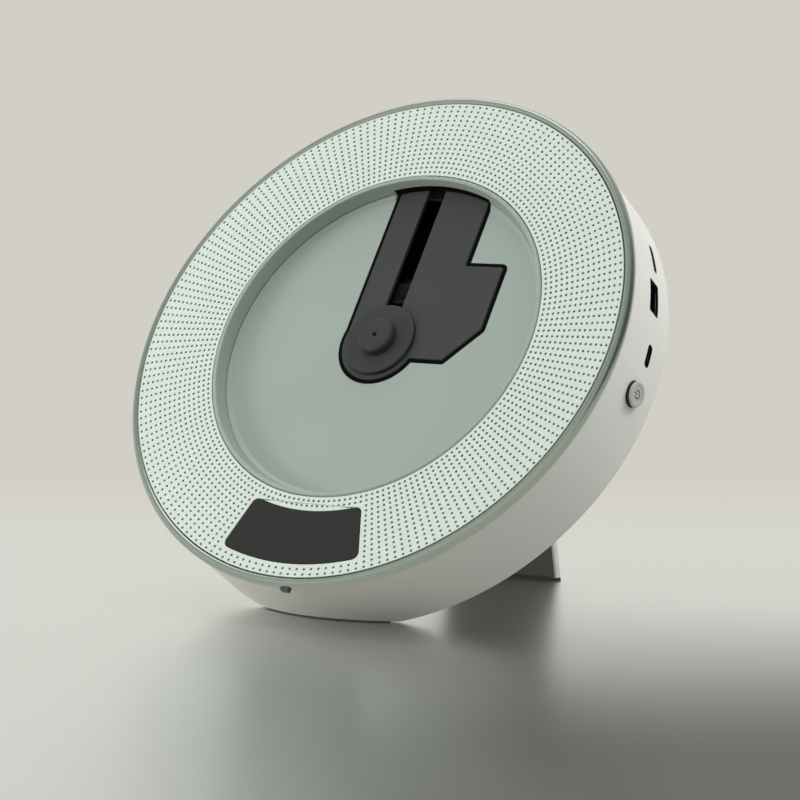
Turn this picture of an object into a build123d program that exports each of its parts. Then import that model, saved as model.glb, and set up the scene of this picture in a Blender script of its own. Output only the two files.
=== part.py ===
from build123d import *
import math
import os

os.makedirs("parts", exist_ok=True)

# Driving dimensions, in millimetres and degrees.
# Depths are measured from the plane of the grille towards the back of the player.

# stance on the table
lean = 34.7  # how far the face leans back from upright
foot_show = 0.5  # gap under the body that the rubber foot leaves
flat_cut = 6.453  # how far the flat cuts into the round back edge

# grille and what lies under it
grille_inset = 2.8  # the housing's front edge is this much wider
grille_bore = 70.9
grille_thickness = 1.0
cloth_thickness = 0.4
seam_gap = 0.3  # visible joint line beside the grille

# outer bezel
bezel_width = 3.3
bezel_proud = 0.3
bezel_depth = 3.8
bezel_round = 2.1
bezel_soft = 0.7
nub_angle = -88.6
nub_width = 3.6
nub_height = 1.2
nub_length = 2.0

# rear housing
housing_front_radius = 106.8
housing_draft = 0.7  # how much narrower it is at the back
back_room = 14.3  # behind the chassis of the mechanism
housing_wall = 2.2
back_edge = 3.1

# display
display_inner_share = 0.1813  # of the ring's width, left plain inside the window
display_outer_share = 0.1692  # the same outside it
display_half_angle = 18.2
display_corner = 2.8
display_sunk = 0.1
display_gap = 0.35
display_ledge = 1.4

# baffle that carries the front parts
baffle_thickness = 2.5
baffle_clearance = 0.2
boss_radius = 3.4
screw_inset = 7.0  # of the screws from the grille's rim
screw_angles = (44.0, -16.0, -56.0)  # on the right, and mirrored on the left
screw_shank = 1.4
screw_head = 2.8
screw_head_height = 1.1
screw_length = 14.0
screw_pad = 3.4

# disc well
rim_width = 1.6
well_draft = 1.4  # the wall leans in this much down to the seam
well_depth = 6.6
well_step_depth = 5.0
well_groove = 0.4
well_lower_step = 0.4
well_foot = 1.8  # the slope under the seam leans in this much more
well_floor = 2.0
rim_proud = 0.3
tab_gap = 0.2
tab_radius = 3.2
tab_thickness = 1.6
well_screw_angles = (20.0, 160.0, 200.0, 340.0)
well_screw = 0.9
well_screw_head = 1.8
recess_depth = 0.8
recess_wall = 2.0  # left of the well's wall behind the recess
floor_slot_half = 8.5
floor_slot_margin = 2.2

# pickup cover
cover_depth = 6.0
cover_end_radius = 16.95
cover_left = 16.5
cover_right = 25.4
cover_flange_right = 42.6
cover_notch_y = 34.5
cover_chamfer_y = 7.3
cover_chamfer_x = 30.4
cover_flange_bottom = -6.7
cover_corner_round = 1.2
cover_edge = 0.3
cover_screw_points = ((-12.0, 56.0), (21.0, 41.0), (36.5, 28.0))
cover_screw = 0.9
cover_screw_head = 1.9
cover_screw_bite = 0.9
laser_slot_width = 7.9

# gasket round the cover
gasket_width = 1.7
gasket_sunk = 0.15  # below the well's floor
gasket_end = 0.65  # its width where it stands up against the well's wall
gasket_lip_depth = 3.2

# turntable and spindle
turntable_depth = 4.4
turntable_radius = 15.0
turntable_thickness = 1.1
boss_disc_radius = 7.4  # centres the 15 mm hole of a disc
boss_top_depth = 1.0
hub_radius = 3.4
hub_length = 4.7
spindle_radius = 1.0
running_gap = 0.04
spindle_wall = 1.2
motor_radius = 12.2
motor_height = 8.4
motor_neck = 4.0
throat_radius = 13.5

# mechanism chassis
chassis_room = 13.4  # between the well's floor and the chassis
chassis_plate = 1.6
chassis_left = -29.0
chassis_right = 45.0
chassis_bottom = -16.0
chassis_shoulder_y = 34.0
chassis_top_right = 33.0
chassis_reach = 3.8  # past the edge of the well's floor
damper_inset = 5.2
damper_post = 2.6
damper_radius = 4.8
damper_waist = 3.5
damper_flange = 1.2
damper_screw = 1.3
damper_screw_head = 3.2
damper_screw_head_height = 1.4

# sled, rods and lens
rod_spacing = 16.5
rod_radius = 1.25
rod_depth = 16.0
rod_start = 8.0
rod_block = 4.0
rod_block_width = 4.2
sled_home = 23.0
sled_stop_gap = 1.0
sled_half_width = 19.0
sled_length = 16.0
sled_top = 14.0
sled_height = 4.4
lens_radius = 2.2
lens_height = 0.7
holder_width = 10.0
holder_length = 9.0
holder_top = 9.3
holder_height = 3.0
magnet_gap = 0.6
magnet_thickness = 1.4
magnet_top = 10.2
lens_travel = 0.4

# rack and gears
gear_y = 24.0
rack_module = 0.6
rack_addendum = 0.42
rack_line = 22.0
rack_depth = 14.4
rack_height = 2.2
rack_teeth_below = 20
pinion_height = 2.6
pinion_hub = 2.6
pinion_teeth = 12
gear_module = 0.5
gear_teeth = 40
gear_depth = 19.0
gear_height = 1.6
gear_addendum = 0.3
motor_teeth = 10
motor_side_angle = -45.0
backlash = 0.12
stud_radius = 1.0
stud_head = 2.0
stud_top = 13.2
sled_motor_radius = 7.0
sled_motor_gap = 0.35  # to the wall of the leg's pocket
sled_shaft_radius = 0.75

# speakers
speaker_shift = 0.55  # outwards from the middle of the grille's ring
speaker_fill = 0.87  # share of that ring's width
speaker_angles = (70.0, 110.0)
speaker_flange = 1.4
speaker_rim = 2.0
speaker_cone_depth = 7.6
speaker_magnet_height = 6.4

# ports on the right-hand wall
board_depth = 25.0
board_thickness = 1.6
board_edge_gap = 3.6
board_width = 21.2
board_from = -12.0
board_to = 36.0
board_screw_inset = 4.0
board_screw_angles = (-8.0, 10.0, 30.0)
usb_a_angle = 18.2
usb_a_opening = (14.4, 7.1)
usb_a_body = (13.1, 6.6, 14.0)
usb_c_angle = 5.1
usb_c_opening = (9.4, 3.4)
usb_c_body = (8.9, 3.2, 7.4)
card_angle = 28.9
card_opening = (12.4, 1.7)
card_body = (11.8, 1.5, 13.0)
port_recess = 1.2

# power button
button_angle = -4.1
button_depth = 21.6
button_radius = 4.8
button_proud = 2.1
button_travel = 0.5
button_gap = 0.2
button_flange = 1.0
switch_size = 6.0
switch_notch = 13.5  # cut in the board round the switch
plunger_radius = 1.7

# battery
battery_size = (62.0, 34.0, 7.6)
battery_y = -48.0

# kickstand
leg_tilt = 11.6  # the open leg's lean from upright
leg_width = 52.0
leg_thickness = 3.0
leg_gap = 0.5
hinge_y = 60.5
hinge_inset = 2.0
hinge_pin_radius = 1.25
hinge_barrel = 2.1
leg_heel = 5.0
stop_gap = 0.1
liner_inset = 0.8
liner_thickness = 0.8
pad_height = 1.2
leg_corner = 1.0
scoop_radius = 11.0

# wall hanging keyholes
keyhole_inset = 48.8  # from the housing's side
keyhole_y = 44.0
keyhole_radius = 4.5
keyhole_slot = 4.4
keyhole_rise = 9.0
keyhole_room = 4.5

# rubber foot under the body
foot_half_width = 28.0
foot_sunk = 0.7
foot_back_margin = 2.2
foot_front_margin = 1.2

# display electronics
display_board_edge = 0.75
display_board_thickness = 1.2
display_standoff = 1.8
display_post = 2.0
digits_width = 40.0
digits_fill = 0.51  # share of the window's height
digit_gap = 0.4

# Places that follow from the sizes above.
lean_sin = math.sin(math.radians(lean))
lean_cos = math.cos(math.radians(lean))
floor_back = well_depth + well_floor
chassis_depth = floor_back + chassis_room
body_depth = chassis_depth + chassis_plate + back_room
leg_pocket_depth = leg_thickness / 2 + hinge_inset + leg_gap / 2
pocket_front = body_depth - leg_pocket_depth - housing_wall
sled_motor_height = pocket_front - sled_motor_gap - chassis_depth - chassis_plate
grille_radius = housing_front_radius - grille_inset
housing_back_radius = housing_front_radius - housing_draft
face_height = foot_show + (housing_back_radius - flat_cut) * lean_cos + body_depth * lean_sin
bezel_radius = grille_radius + seam_gap + bezel_width
baffle_front = grille_thickness + cloth_thickness
baffle_back = baffle_front + baffle_thickness
well_outer = grille_bore - seam_gap
well_radius = well_outer - rim_width
well_lower_radius = well_radius - well_draft - well_lower_step
recess_radius = well_outer - recess_wall
floor_slot_end = well_lower_radius - floor_slot_margin
tab_ring = well_outer + tab_radius + tab_gap
display_inner = grille_bore + display_inner_share * (grille_radius - grille_bore)
display_outer = grille_radius - display_outer_share * (grille_radius - grille_bore)
display_board_size = (
    2 * display_outer * math.sin(math.radians(display_half_angle)) + display_board_edge,
    display_outer - display_inner - 2 * display_board_edge,
)
display_board_y = -(display_inner + display_outer) / 2
digits_size = (digits_width, digits_fill * (display_outer - display_inner))
screw_ring = grille_radius - screw_inset
speaker_ring = (grille_bore + grille_radius) / 2 + speaker_shift
speaker_flange_radius = speaker_fill * (grille_radius - grille_bore) / 2
speaker_mouth = speaker_flange_radius - speaker_rim
speaker_waist = 0.6 * speaker_flange_radius
speaker_magnet_radius = 0.66 * speaker_flange_radius
speaker_coil = 0.32 * speaker_flange_radius
board_outer = housing_front_radius - board_edge_gap
board_inner = board_outer - board_width
board_screw_ring = board_inner + board_screw_inset
keyhole_x = housing_front_radius - keyhole_inset
chassis_top = well_lower_radius + chassis_reach
damper_screw_length = chassis_room + 0.4
damper_high = well_lower_radius - damper_inset
damper_points = ((-23.0, -10.0), (39.0, -10.0), (-23.0, damper_high), (27.0, damper_high - 2))
rod_end = chassis_top
sled_travel = rod_end - rod_block - sled_length / 2 - sled_home - sled_stop_gap
hinge_depth = body_depth - hinge_inset
hinge_height = face_height + hinge_y * lean_cos - hinge_depth * lean_sin
leg_sin = math.sin(math.radians(leg_tilt))
leg_cos = math.cos(math.radians(leg_tilt))
open_angle = lean + leg_tilt
leg_length = hinge_height / leg_cos

# The origin lies under the middle of the player, front to back.
hinge_setback = hinge_y * lean_sin + hinge_depth * lean_cos
reach_back = hinge_setback + leg_length * leg_sin + leg_thickness / 2 / leg_cos
reach_front = (
    (bezel_radius - bezel_round) * lean_sin
    + (bezel_proud - bezel_round) * lean_cos
    + bezel_round
)
face_setback = (reach_front - reach_back) / 2

face = Plane(
    origin=(0, face_setback, face_height),
    x_dir=(1, 0, 0),
    z_dir=(0, -lean_cos, lean_sin),
)
section = Plane(origin=face.origin, x_dir=face.x_dir, z_dir=-face.y_dir)
spin_axis = Axis(face.origin, face.z_dir)


def at(depth):
    """The plane parallel to the face, this far behind the grille."""
    return face.offset(-depth)


def polar(radius, angle):
    """A point of the face in polar form."""
    turn = math.radians(angle)
    return (radius * math.cos(turn), radius * math.sin(turn))


def wall_plane(angle, depth, radius):
    """A plane that looks out through the round wall, its x along the rim."""
    turn = math.radians(angle)
    place = face.from_local_coords((*polar(radius, angle), -depth))
    outward = face.x_dir * math.cos(turn) + face.y_dir * math.sin(turn)
    along = face.y_dir * math.cos(turn) - face.x_dir * math.sin(turn)
    return Plane(origin=place, x_dir=along, z_dir=outward)


def save(piece, name):
    piece.part.label = name
    export_step(piece.part, f"parts/{name}.step")


def ring_sector(inner, outer, half_angle, corner):
    """A rounded piece of a ring, centred below the middle of the face."""
    with BuildSketch(mode=Mode.PRIVATE) as sector:
        Circle(outer)
        Circle(inner, mode=Mode.SUBTRACT)
        with BuildLine():
            Polyline(
                (0, 0),
                polar(2 * outer, -90 - half_angle),
                polar(2 * outer, -90 + half_angle),
                close=True,
            )
        make_face(mode=Mode.INTERSECT)
        fillet(vertices(), corner)
    return sector.sketch


def housing_radius(depth):
    """Outer radius of the tapered wall at a depth."""
    share = (depth - bezel_depth) / (body_depth - bezel_depth)
    return housing_front_radius + share * (housing_back_radius - housing_front_radius)


# The flat meets the back of the housing here; the foot lies just in front.
flat_back_y = (foot_show - face_height + body_depth * lean_sin) / lean_cos
flat_back = face_setback + flat_back_y * lean_sin + body_depth * lean_cos
display_board_depth = baffle_back + display_standoff
post_x = display_board_size[0] / 2 - display_post
post_y = display_board_size[1] / 2 - display_post
display_posts = [(x, display_board_y + y) for x in (-post_x, post_x) for y in (-post_y, post_y)]

screw_places = [polar(screw_ring, a) for a in screw_angles]
screw_places += [polar(screw_ring, 180 - a) for a in screw_angles]

# Rear housing: a shallow tapered bowl with a flat to stand on.
inner_back = body_depth - housing_wall
bay_depth = (
    hinge_inset
    + leg_heel * math.sin(math.radians(open_angle))
    + leg_thickness / 2 * math.cos(math.radians(open_angle))
    + stop_gap
)
bay_bottom = hinge_y - hinge_barrel - leg_gap - 2
bay_top = hinge_y + math.hypot(leg_heel, leg_thickness / 2) + leg_gap
pocket_bottom = hinge_y - leg_length - leg_gap - leg_thickness / 2
pocket_half = leg_width / 2 + leg_gap
pin_half = pocket_half + housing_wall - 0.4
keyhole_places = [(-keyhole_x, keyhole_y), (keyhole_x, keyhole_y)]
ports = (
    (usb_a_angle, board_depth - usb_a_body[1] / 2, usb_a_opening),
    (usb_c_angle, board_depth - usb_c_body[1] / 2, usb_c_opening),
    (card_angle, board_depth - card_body[1] / 2, card_opening),
)

# The flat is cut from a round wall, so its front edge is part of an ellipse.
flat_radius = (housing_front_radius + housing_back_radius) / 2
flat_centre = face_setback + (face_height - foot_show) * lean_cos / lean_sin
with BuildSketch() as foot_outline:
    with Locations((0, flat_back - foot_back_margin - foot_half_width)):
        Rectangle(2 * foot_half_width, 2 * foot_half_width)
    with Locations((0, flat_centre)):
        Ellipse(
            flat_radius - foot_front_margin * lean_sin,
            flat_radius / lean_sin - foot_front_margin,
            mode=Mode.INTERSECT,
        )
    fillet(vertices().group_by(Axis.Y)[-1], 1)

with BuildPart() as housing_room:
    with BuildSketch(section):
        with BuildLine():
            Polyline(
                (0, -bezel_depth + 1),
                (housing_front_radius - housing_wall, -bezel_depth + 1),
                (housing_radius(body_depth) - housing_wall, -inner_back),
                (0, -inner_back),
                close=True,
            )
        make_face()
    revolve(axis=spin_axis)
    split(bisect_by=Plane.XY.offset(foot_show + housing_wall), keep=Keep.TOP)

with BuildPart() as rear_housing:
    with BuildSketch(section):
        with BuildLine():
            Polyline(
                (0, -bezel_depth),
                (housing_front_radius, -bezel_depth),
                (housing_back_radius, -body_depth),
                (0, -body_depth),
                close=True,
            )
        make_face()
        fillet(vertices().sort_by(Axis.Y)[:2].sort_by(Axis.X)[-1], back_edge)
    revolve(axis=spin_axis)
    split(bisect_by=Plane.XY.offset(foot_show), keep=Keep.TOP)
    add(housing_room.part, mode=Mode.SUBTRACT)
    # blocks inside that back the leg pocket, the hinge bay and the finger scoop
    with BuildSketch(at(body_depth)):
        with Locations((0, (pocket_bottom + bay_bottom) / 2)):
            Rectangle(2 * (pocket_half + housing_wall), bay_bottom - pocket_bottom + 2 * housing_wall)
        with Locations((0, pocket_bottom)):
            Circle(scoop_radius + housing_wall)
    extrude(amount=leg_pocket_depth + housing_wall)
    with BuildSketch(at(body_depth)):
        with Locations((0, (bay_bottom + bay_top) / 2)):
            Rectangle(2 * (pocket_half + housing_wall), bay_top - bay_bottom + 2 * housing_wall)
    extrude(amount=bay_depth + housing_wall)
    # pads behind the screws, keyhole chambers and posts for the port board
    with BuildSketch(at(body_depth - housing_wall)):
        with Locations(*screw_places):
            Circle(boss_radius + 1)
    extrude(amount=screw_pad - housing_wall)
    with BuildSketch(at(body_depth - housing_wall)):
        with Locations(*[(x, y + keyhole_rise / 2) for x, y in keyhole_places]):
            RectangleRounded(
                2 * (keyhole_radius + housing_wall), keyhole_rise + 2 * (keyhole_radius + housing_wall), 3
            )
    extrude(amount=keyhole_room + housing_wall)
    with BuildSketch(at(inner_back)):
        with Locations(*[polar(board_screw_ring, a) for a in board_screw_angles]):
            Circle(boss_radius)
    extrude(amount=inner_back - board_depth - board_thickness)
    # pockets, holes and openings
    with BuildSketch(at(body_depth)):
        with Locations((0, (pocket_bottom + bay_top) / 2)):
            RectangleRounded(2 * pocket_half, bay_top - pocket_bottom, 1.2)
        with Locations((0, pocket_bottom)):
            Circle(scoop_radius)
    extrude(amount=leg_pocket_depth, mode=Mode.SUBTRACT)
    with BuildSketch(at(body_depth)):
        with Locations((0, (bay_bottom + bay_top) / 2)):
            Rectangle(2 * pocket_half, bay_top - bay_bottom)
    extrude(amount=bay_depth, mode=Mode.SUBTRACT)
    with BuildSketch(Plane(origin=at(hinge_depth).from_local_coords((0, hinge_y, 0)), x_dir=face.y_dir,
                           z_dir=face.x_dir)):
        Circle(hinge_pin_radius)
    extrude(amount=pin_half, both=True, mode=Mode.SUBTRACT)
    with BuildSketch(at(body_depth)):
        with Locations(*keyhole_places):
            Circle(keyhole_radius)
        with Locations(*[(x, y + keyhole_rise / 2) for x, y in keyhole_places]):
            SlotOverall(keyhole_rise + keyhole_slot, keyhole_slot, rotation=90)
    extrude(amount=housing_wall, mode=Mode.SUBTRACT)
    with BuildSketch(at(body_depth - housing_wall)):
        with Locations(*[(x, y + keyhole_rise / 2) for x, y in keyhole_places]):
            SlotOverall(keyhole_rise + 2 * keyhole_radius, 2 * keyhole_radius, rotation=90)
    extrude(amount=keyhole_room, mode=Mode.SUBTRACT)
    with BuildSketch(at(body_depth)):
        with Locations(*screw_places):
            Circle(screw_head + 0.3)
    extrude(amount=screw_head_height + 0.3, mode=Mode.SUBTRACT)
    with BuildSketch(at(body_depth)):
        with Locations(*screw_places):
            Circle(screw_shank + 0.2)
    extrude(amount=screw_pad, mode=Mode.SUBTRACT)
    with BuildSketch(at(board_depth + board_thickness)):
        with Locations(*[polar(board_screw_ring, a) for a in board_screw_angles]):
            Circle(0.9)
    extrude(amount=-6, mode=Mode.SUBTRACT)
    for angle, depth, (long, high) in ports:
        with BuildSketch(wall_plane(angle, depth, housing_front_radius)):
            RectangleRounded(long, high, min(high / 2 - 0.05, 0.8 if high > 5 else 2))
        extrude(amount=-2 * housing_wall - 1, mode=Mode.SUBTRACT)
    with BuildSketch(wall_plane(button_angle, button_depth, housing_front_radius)):
        Circle(button_radius + button_gap)
    extrude(amount=-2 * housing_wall - 1, mode=Mode.SUBTRACT)
    with BuildSketch(Plane.XY.offset(foot_show)):
        add(foot_outline.sketch)
    extrude(amount=foot_sunk, mode=Mode.SUBTRACT)
save(rear_housing, "rear_housing")

# Rubber foot let into the flat.
with BuildPart() as base_foot:
    with BuildSketch():
        add(foot_outline.sketch)
    extrude(amount=foot_show + foot_sunk)
save(base_foot, "base_foot")

# Outer bezel: a rounded ring with a small opening nub under it.
with BuildPart() as outer_bezel:
    with BuildSketch(section):
        with BuildLine():
            Polyline(
                (grille_radius + seam_gap, bezel_proud),
                (bezel_radius, bezel_proud),
                (bezel_radius, -bezel_depth),
                (grille_radius + seam_gap, -bezel_depth),
                close=True,
            )
        make_face()
        front = vertices().sort_by(Axis.Y)[-2:]
        fillet(front.sort_by(Axis.X)[-1], bezel_round)
        fillet(vertices().group_by(Axis.Y)[-1].sort_by(Axis.X)[0], bezel_soft)
        fillet(vertices().group_by(Axis.Y)[0].sort_by(Axis.X)[-1], bezel_soft)
    revolve(axis=spin_axis)
    with BuildSketch(at(bezel_depth)):
        with Locations(polar(bezel_radius - nub_height / 2, nub_angle)):
            Rectangle(nub_width, 3 * nub_height)
    extrude(amount=nub_length)
save(outer_bezel, "outer_bezel")

# Perforated ring, its cloth, and the display let into it.
display_opening = ring_sector(
    display_inner - display_gap, display_outer + display_gap, display_half_angle + 0.25, display_corner
)
with BuildPart() as speaker_grille:
    with BuildSketch(at(grille_thickness)):
        Circle(grille_radius)
        Circle(grille_bore, mode=Mode.SUBTRACT)
        add(display_opening, mode=Mode.SUBTRACT)
    extrude(amount=grille_thickness)
save(speaker_grille, "speaker_grille")

with BuildPart() as acoustic_cloth:
    with BuildSketch(at(baffle_front)):
        Circle(grille_radius - 0.2)
        Circle(grille_bore + 0.2, mode=Mode.SUBTRACT)
        add(display_opening, mode=Mode.SUBTRACT)
    extrude(amount=cloth_thickness)
save(acoustic_cloth, "acoustic_cloth")

display_outline = ring_sector(display_inner, display_outer, display_half_angle, display_corner)
with BuildPart() as display_window:
    with BuildSketch(at(baffle_front)):
        add(display_outline)
    extrude(amount=baffle_front - display_sunk)
save(display_window, "display_window")

# Baffle behind the grille, with the speaker mouths and the screw bosses.
display_hole = ring_sector(
    display_inner + display_ledge, display_outer - display_ledge, display_half_angle - 1, 2
)
speaker_places = [polar(speaker_ring, a) for a in speaker_angles]
boss_end = body_depth - screw_pad - 0.1
with BuildPart() as baffle_ring:
    with BuildSketch(at(baffle_back)):
        Circle(grille_radius)
        Circle(well_outer + baffle_clearance, mode=Mode.SUBTRACT)
        with Locations(*speaker_places):
            Circle(speaker_mouth, mode=Mode.SUBTRACT)
        add(display_hole, mode=Mode.SUBTRACT)
    extrude(amount=baffle_thickness)
    with BuildSketch(at(boss_end)):
        with Locations(*screw_places):
            Circle(boss_radius)
    extrude(amount=boss_end - baffle_back)
    with BuildSketch(at(boss_end)):
        with Locations(*screw_places):
            Circle(screw_shank)
    extrude(amount=screw_length, mode=Mode.SUBTRACT)
    with BuildSketch(at(baffle_back)):
        with Locations(*[polar(tab_ring, a) for a in well_screw_angles]):
            Circle(well_screw)
    extrude(amount=baffle_thickness - 0.4, mode=Mode.SUBTRACT)
    with BuildSketch(at(display_board_depth)):
        with Locations(*display_posts):
            Circle(display_post)
    extrude(amount=display_board_depth - baffle_back)
save(baffle_ring, "baffle_ring")

# Disc well: lip, wall with a seam, floor, tabs and posts for the dampers.
cover_back = well_depth + recess_depth
cover_arc = recess_radius - gasket_end
post_end = chassis_depth - damper_flange


def cover_corner(x):
    """Where a side of the cover meets its top arc."""
    return (x, math.sqrt(cover_arc**2 - x**2))


with BuildSketch() as cover_outline:
    with BuildLine():
        Polyline(
            (-cover_left, 0),
            cover_corner(-cover_left),
            (0, cover_arc + cover_end_radius),
            cover_corner(cover_right),
            (cover_right, cover_notch_y),
            (cover_flange_right, cover_notch_y),
            (cover_flange_right, cover_chamfer_y),
            (cover_chamfer_x, cover_flange_bottom),
            (0, cover_flange_bottom),
            (0, 0),
            close=True,
        )
    make_face()
    Circle(cover_end_radius)
    Circle(cover_arc, mode=Mode.INTERSECT)
    fillet(
        vertices().sort_by_distance((cover_flange_right, cover_notch_y, 0))[0], cover_corner_round
    )

with BuildSketch() as recess_outline:
    offset(cover_outline.sketch, amount=gasket_width)
    Circle(recess_radius, mode=Mode.INTERSECT)

with BuildPart() as disc_well:
    with BuildSketch(section):
        with BuildLine():
            Polyline(
                (0, -floor_back),
                (well_outer, -floor_back),
                (well_outer, rim_proud),
                (well_radius, rim_proud),
                (well_radius - well_draft, -well_step_depth),
                (well_radius - well_draft + well_groove, -well_step_depth),
                (well_radius - well_draft + well_groove, -well_step_depth - well_groove),
                (well_lower_radius, -well_step_depth - well_groove),
                (well_lower_radius - well_foot, -well_depth),
                (0, -well_depth),
                close=True,
            )
        make_face()
        fillet(vertices().group_by(Axis.Y)[-1], 0.6)
        fillet(vertices().group_by(Axis.Y)[0].sort_by(Axis.X)[-1], 0.8)
    revolve(axis=spin_axis)
    with BuildSketch(at(baffle_back + tab_thickness)):
        for angle in well_screw_angles:
            with Locations(polar(tab_ring, angle)):
                Circle(tab_radius)
            with Locations(polar((well_outer + tab_ring) / 2 - 0.4, angle)):
                Rectangle(tab_ring - well_outer + 0.8, 2 * tab_radius, rotation=angle)
    extrude(amount=tab_thickness)
    with BuildSketch(at(post_end)):
        with Locations(*damper_points):
            Circle(damper_post)
    extrude(amount=post_end - floor_back)
    with BuildSketch(at(cover_back)):
        add(recess_outline.sketch)
    extrude(amount=cover_back - gasket_lip_depth, mode=Mode.SUBTRACT)
    with BuildSketch(at(floor_back)):
        Circle(throat_radius)
        with Locations((0, floor_slot_end / 2)):
            Rectangle(2 * floor_slot_half, floor_slot_end)
    extrude(amount=well_floor, mode=Mode.SUBTRACT)
    with BuildSketch(at(floor_back)):
        with Locations(*cover_screw_points):
            Circle(cover_screw)
    extrude(amount=well_floor, mode=Mode.SUBTRACT)
    with BuildSketch(at(baffle_back + tab_thickness)):
        with Locations(*[polar(tab_ring, a) for a in well_screw_angles]):
            Circle(well_screw)
    extrude(amount=tab_thickness, mode=Mode.SUBTRACT)
    with BuildSketch(at(post_end)):
        with Locations(*damper_points):
            Circle(damper_screw)
    extrude(amount=post_end - floor_back, mode=Mode.SUBTRACT)
save(disc_well, "disc_well")

# Pickup cover: a plate let into the well's floor, with a slot for the laser.
with BuildPart() as pickup_cover:
    with BuildSketch(at(cover_back)):
        add(cover_outline.sketch)
    extrude(amount=cover_back - cover_depth)
    chamfer(faces().sort_by(spin_axis)[-1].edges(), cover_edge)
    with BuildSketch(at(cover_back)):
        Circle(throat_radius)
        with Locations((0, cover_arc / 2)):
            Rectangle(laser_slot_width, cover_arc + 2)
    extrude(amount=cover_back - cover_depth, mode=Mode.SUBTRACT)
    with BuildSketch(at(cover_back)):
        with Locations(*cover_screw_points):
            Circle(cover_screw)
    extrude(amount=cover_screw_bite, mode=Mode.SUBTRACT)
save(pickup_cover, "pickup_cover")

# Gasket round the cover: flat in the floor, and a lip where it meets the well's wall.
with BuildPart() as cover_gasket:
    with BuildSketch(at(cover_back)):
        add(recess_outline.sketch)
        add(cover_outline.sketch, mode=Mode.SUBTRACT)
    extrude(amount=cover_back - well_depth - gasket_sunk)
    with BuildSketch(at(cover_back)):
        add(recess_outline.sketch)
        Circle(cover_arc, mode=Mode.SUBTRACT)
    extrude(amount=cover_back - gasket_lip_depth)
save(cover_gasket, "cover_gasket")

# All screws share one shape: a pan head on a round shank, driven from behind.
def make_screws(places, depth, shank, head, head_height, length):
    """Screws with their heads behind this depth and their shanks in front of it."""
    with BuildPart() as screws:
        with BuildSketch(at(depth + head_height)):
            with Locations(*places):
                Circle(head)
        extrude(amount=head_height)
        with BuildSketch(at(depth)):
            with Locations(*places):
                Circle(shank)
        extrude(amount=length)
        with BuildSketch(at(depth + head_height)):
            with Locations(*places):
                Rectangle(head, head / 4)
                Rectangle(head / 4, head)
        extrude(amount=head_height / 2, mode=Mode.SUBTRACT)
    return screws


well_screws = make_screws(
    [polar(tab_ring, a) for a in well_screw_angles],
    baffle_back + tab_thickness,
    well_screw,
    well_screw_head,
    1.0,
    tab_thickness + baffle_thickness - 0.6,
)
save(well_screws, "well_screws")

cover_screws = make_screws(
    cover_screw_points,
    floor_back,
    cover_screw,
    cover_screw_head,
    0.9,
    floor_back - cover_back + cover_screw_bite - 0.1,
)
save(cover_screws, "cover_screws")

screw_seat = body_depth - screw_head_height - 0.3
rear_screws = make_screws(
    screw_places, screw_seat, screw_shank, screw_head, screw_head_height, screw_length
)
save(rear_screws, "rear_screws")

# Turntable: a disc seat with the boss that centres a disc, on a hub.
hub_end = turntable_depth + turntable_thickness + hub_length
shaft_top = boss_top_depth + 1
with BuildPart() as turntable:
    with BuildSketch(section):
        with BuildLine():
            Polyline(
                (0, -shaft_top),
                (0, -boss_top_depth - 0.4),
                (1.6, -boss_top_depth),
                (boss_disc_radius, -boss_top_depth),
                (boss_disc_radius, -turntable_depth),
                (turntable_radius, -turntable_depth),
                (turntable_radius, -turntable_depth - turntable_thickness),
                (hub_radius, -turntable_depth - turntable_thickness),
                (hub_radius, -hub_end),
                (spindle_radius, -hub_end),
                (spindle_radius, -shaft_top),
                close=True,
            )
        make_face()
        fillet(vertices().sort_by_distance((boss_disc_radius, -boss_top_depth, 0))[0], 1.2)
        fillet(vertices().sort_by_distance((turntable_radius, -turntable_depth, 0))[0], 0.5)
    revolve(axis=spin_axis)
save(turntable, "turntable")

shaft_end = 21.2
with BuildPart() as spindle_shaft:
    with BuildSketch(at(shaft_end)):
        Circle(spindle_radius)
    extrude(amount=shaft_end - shaft_top)
save(spindle_shaft, "spindle_shaft")

bearing_front = 10.6
bearing_back = 20.5
bearing_radius = spindle_radius + running_gap + spindle_wall
with BuildPart() as spindle_bearing:
    with BuildSketch(at(bearing_back)):
        Circle(bearing_radius)
        Circle(spindle_radius + running_gap, mode=Mode.SUBTRACT)
    extrude(amount=bearing_back - bearing_front)
save(spindle_bearing, "spindle_bearing")

with BuildPart() as spindle_motor:
    with BuildSketch(at(chassis_depth)):
        Circle(motor_radius)
    extrude(amount=motor_height)
    chamfer(edges(), 0.6)
    with BuildSketch(at(chassis_depth - motor_height)):
        Circle(motor_neck)
    extrude(amount=1.6)
    with BuildSketch(at(bearing_back)):
        Circle(bearing_radius)
    extrude(amount=bearing_back - bearing_front, mode=Mode.SUBTRACT)
    with BuildSketch(at(shaft_end + 0.2)):
        Circle(spindle_radius + 0.2)
    extrude(amount=3, mode=Mode.SUBTRACT)
save(spindle_motor, "spindle_motor")

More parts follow.
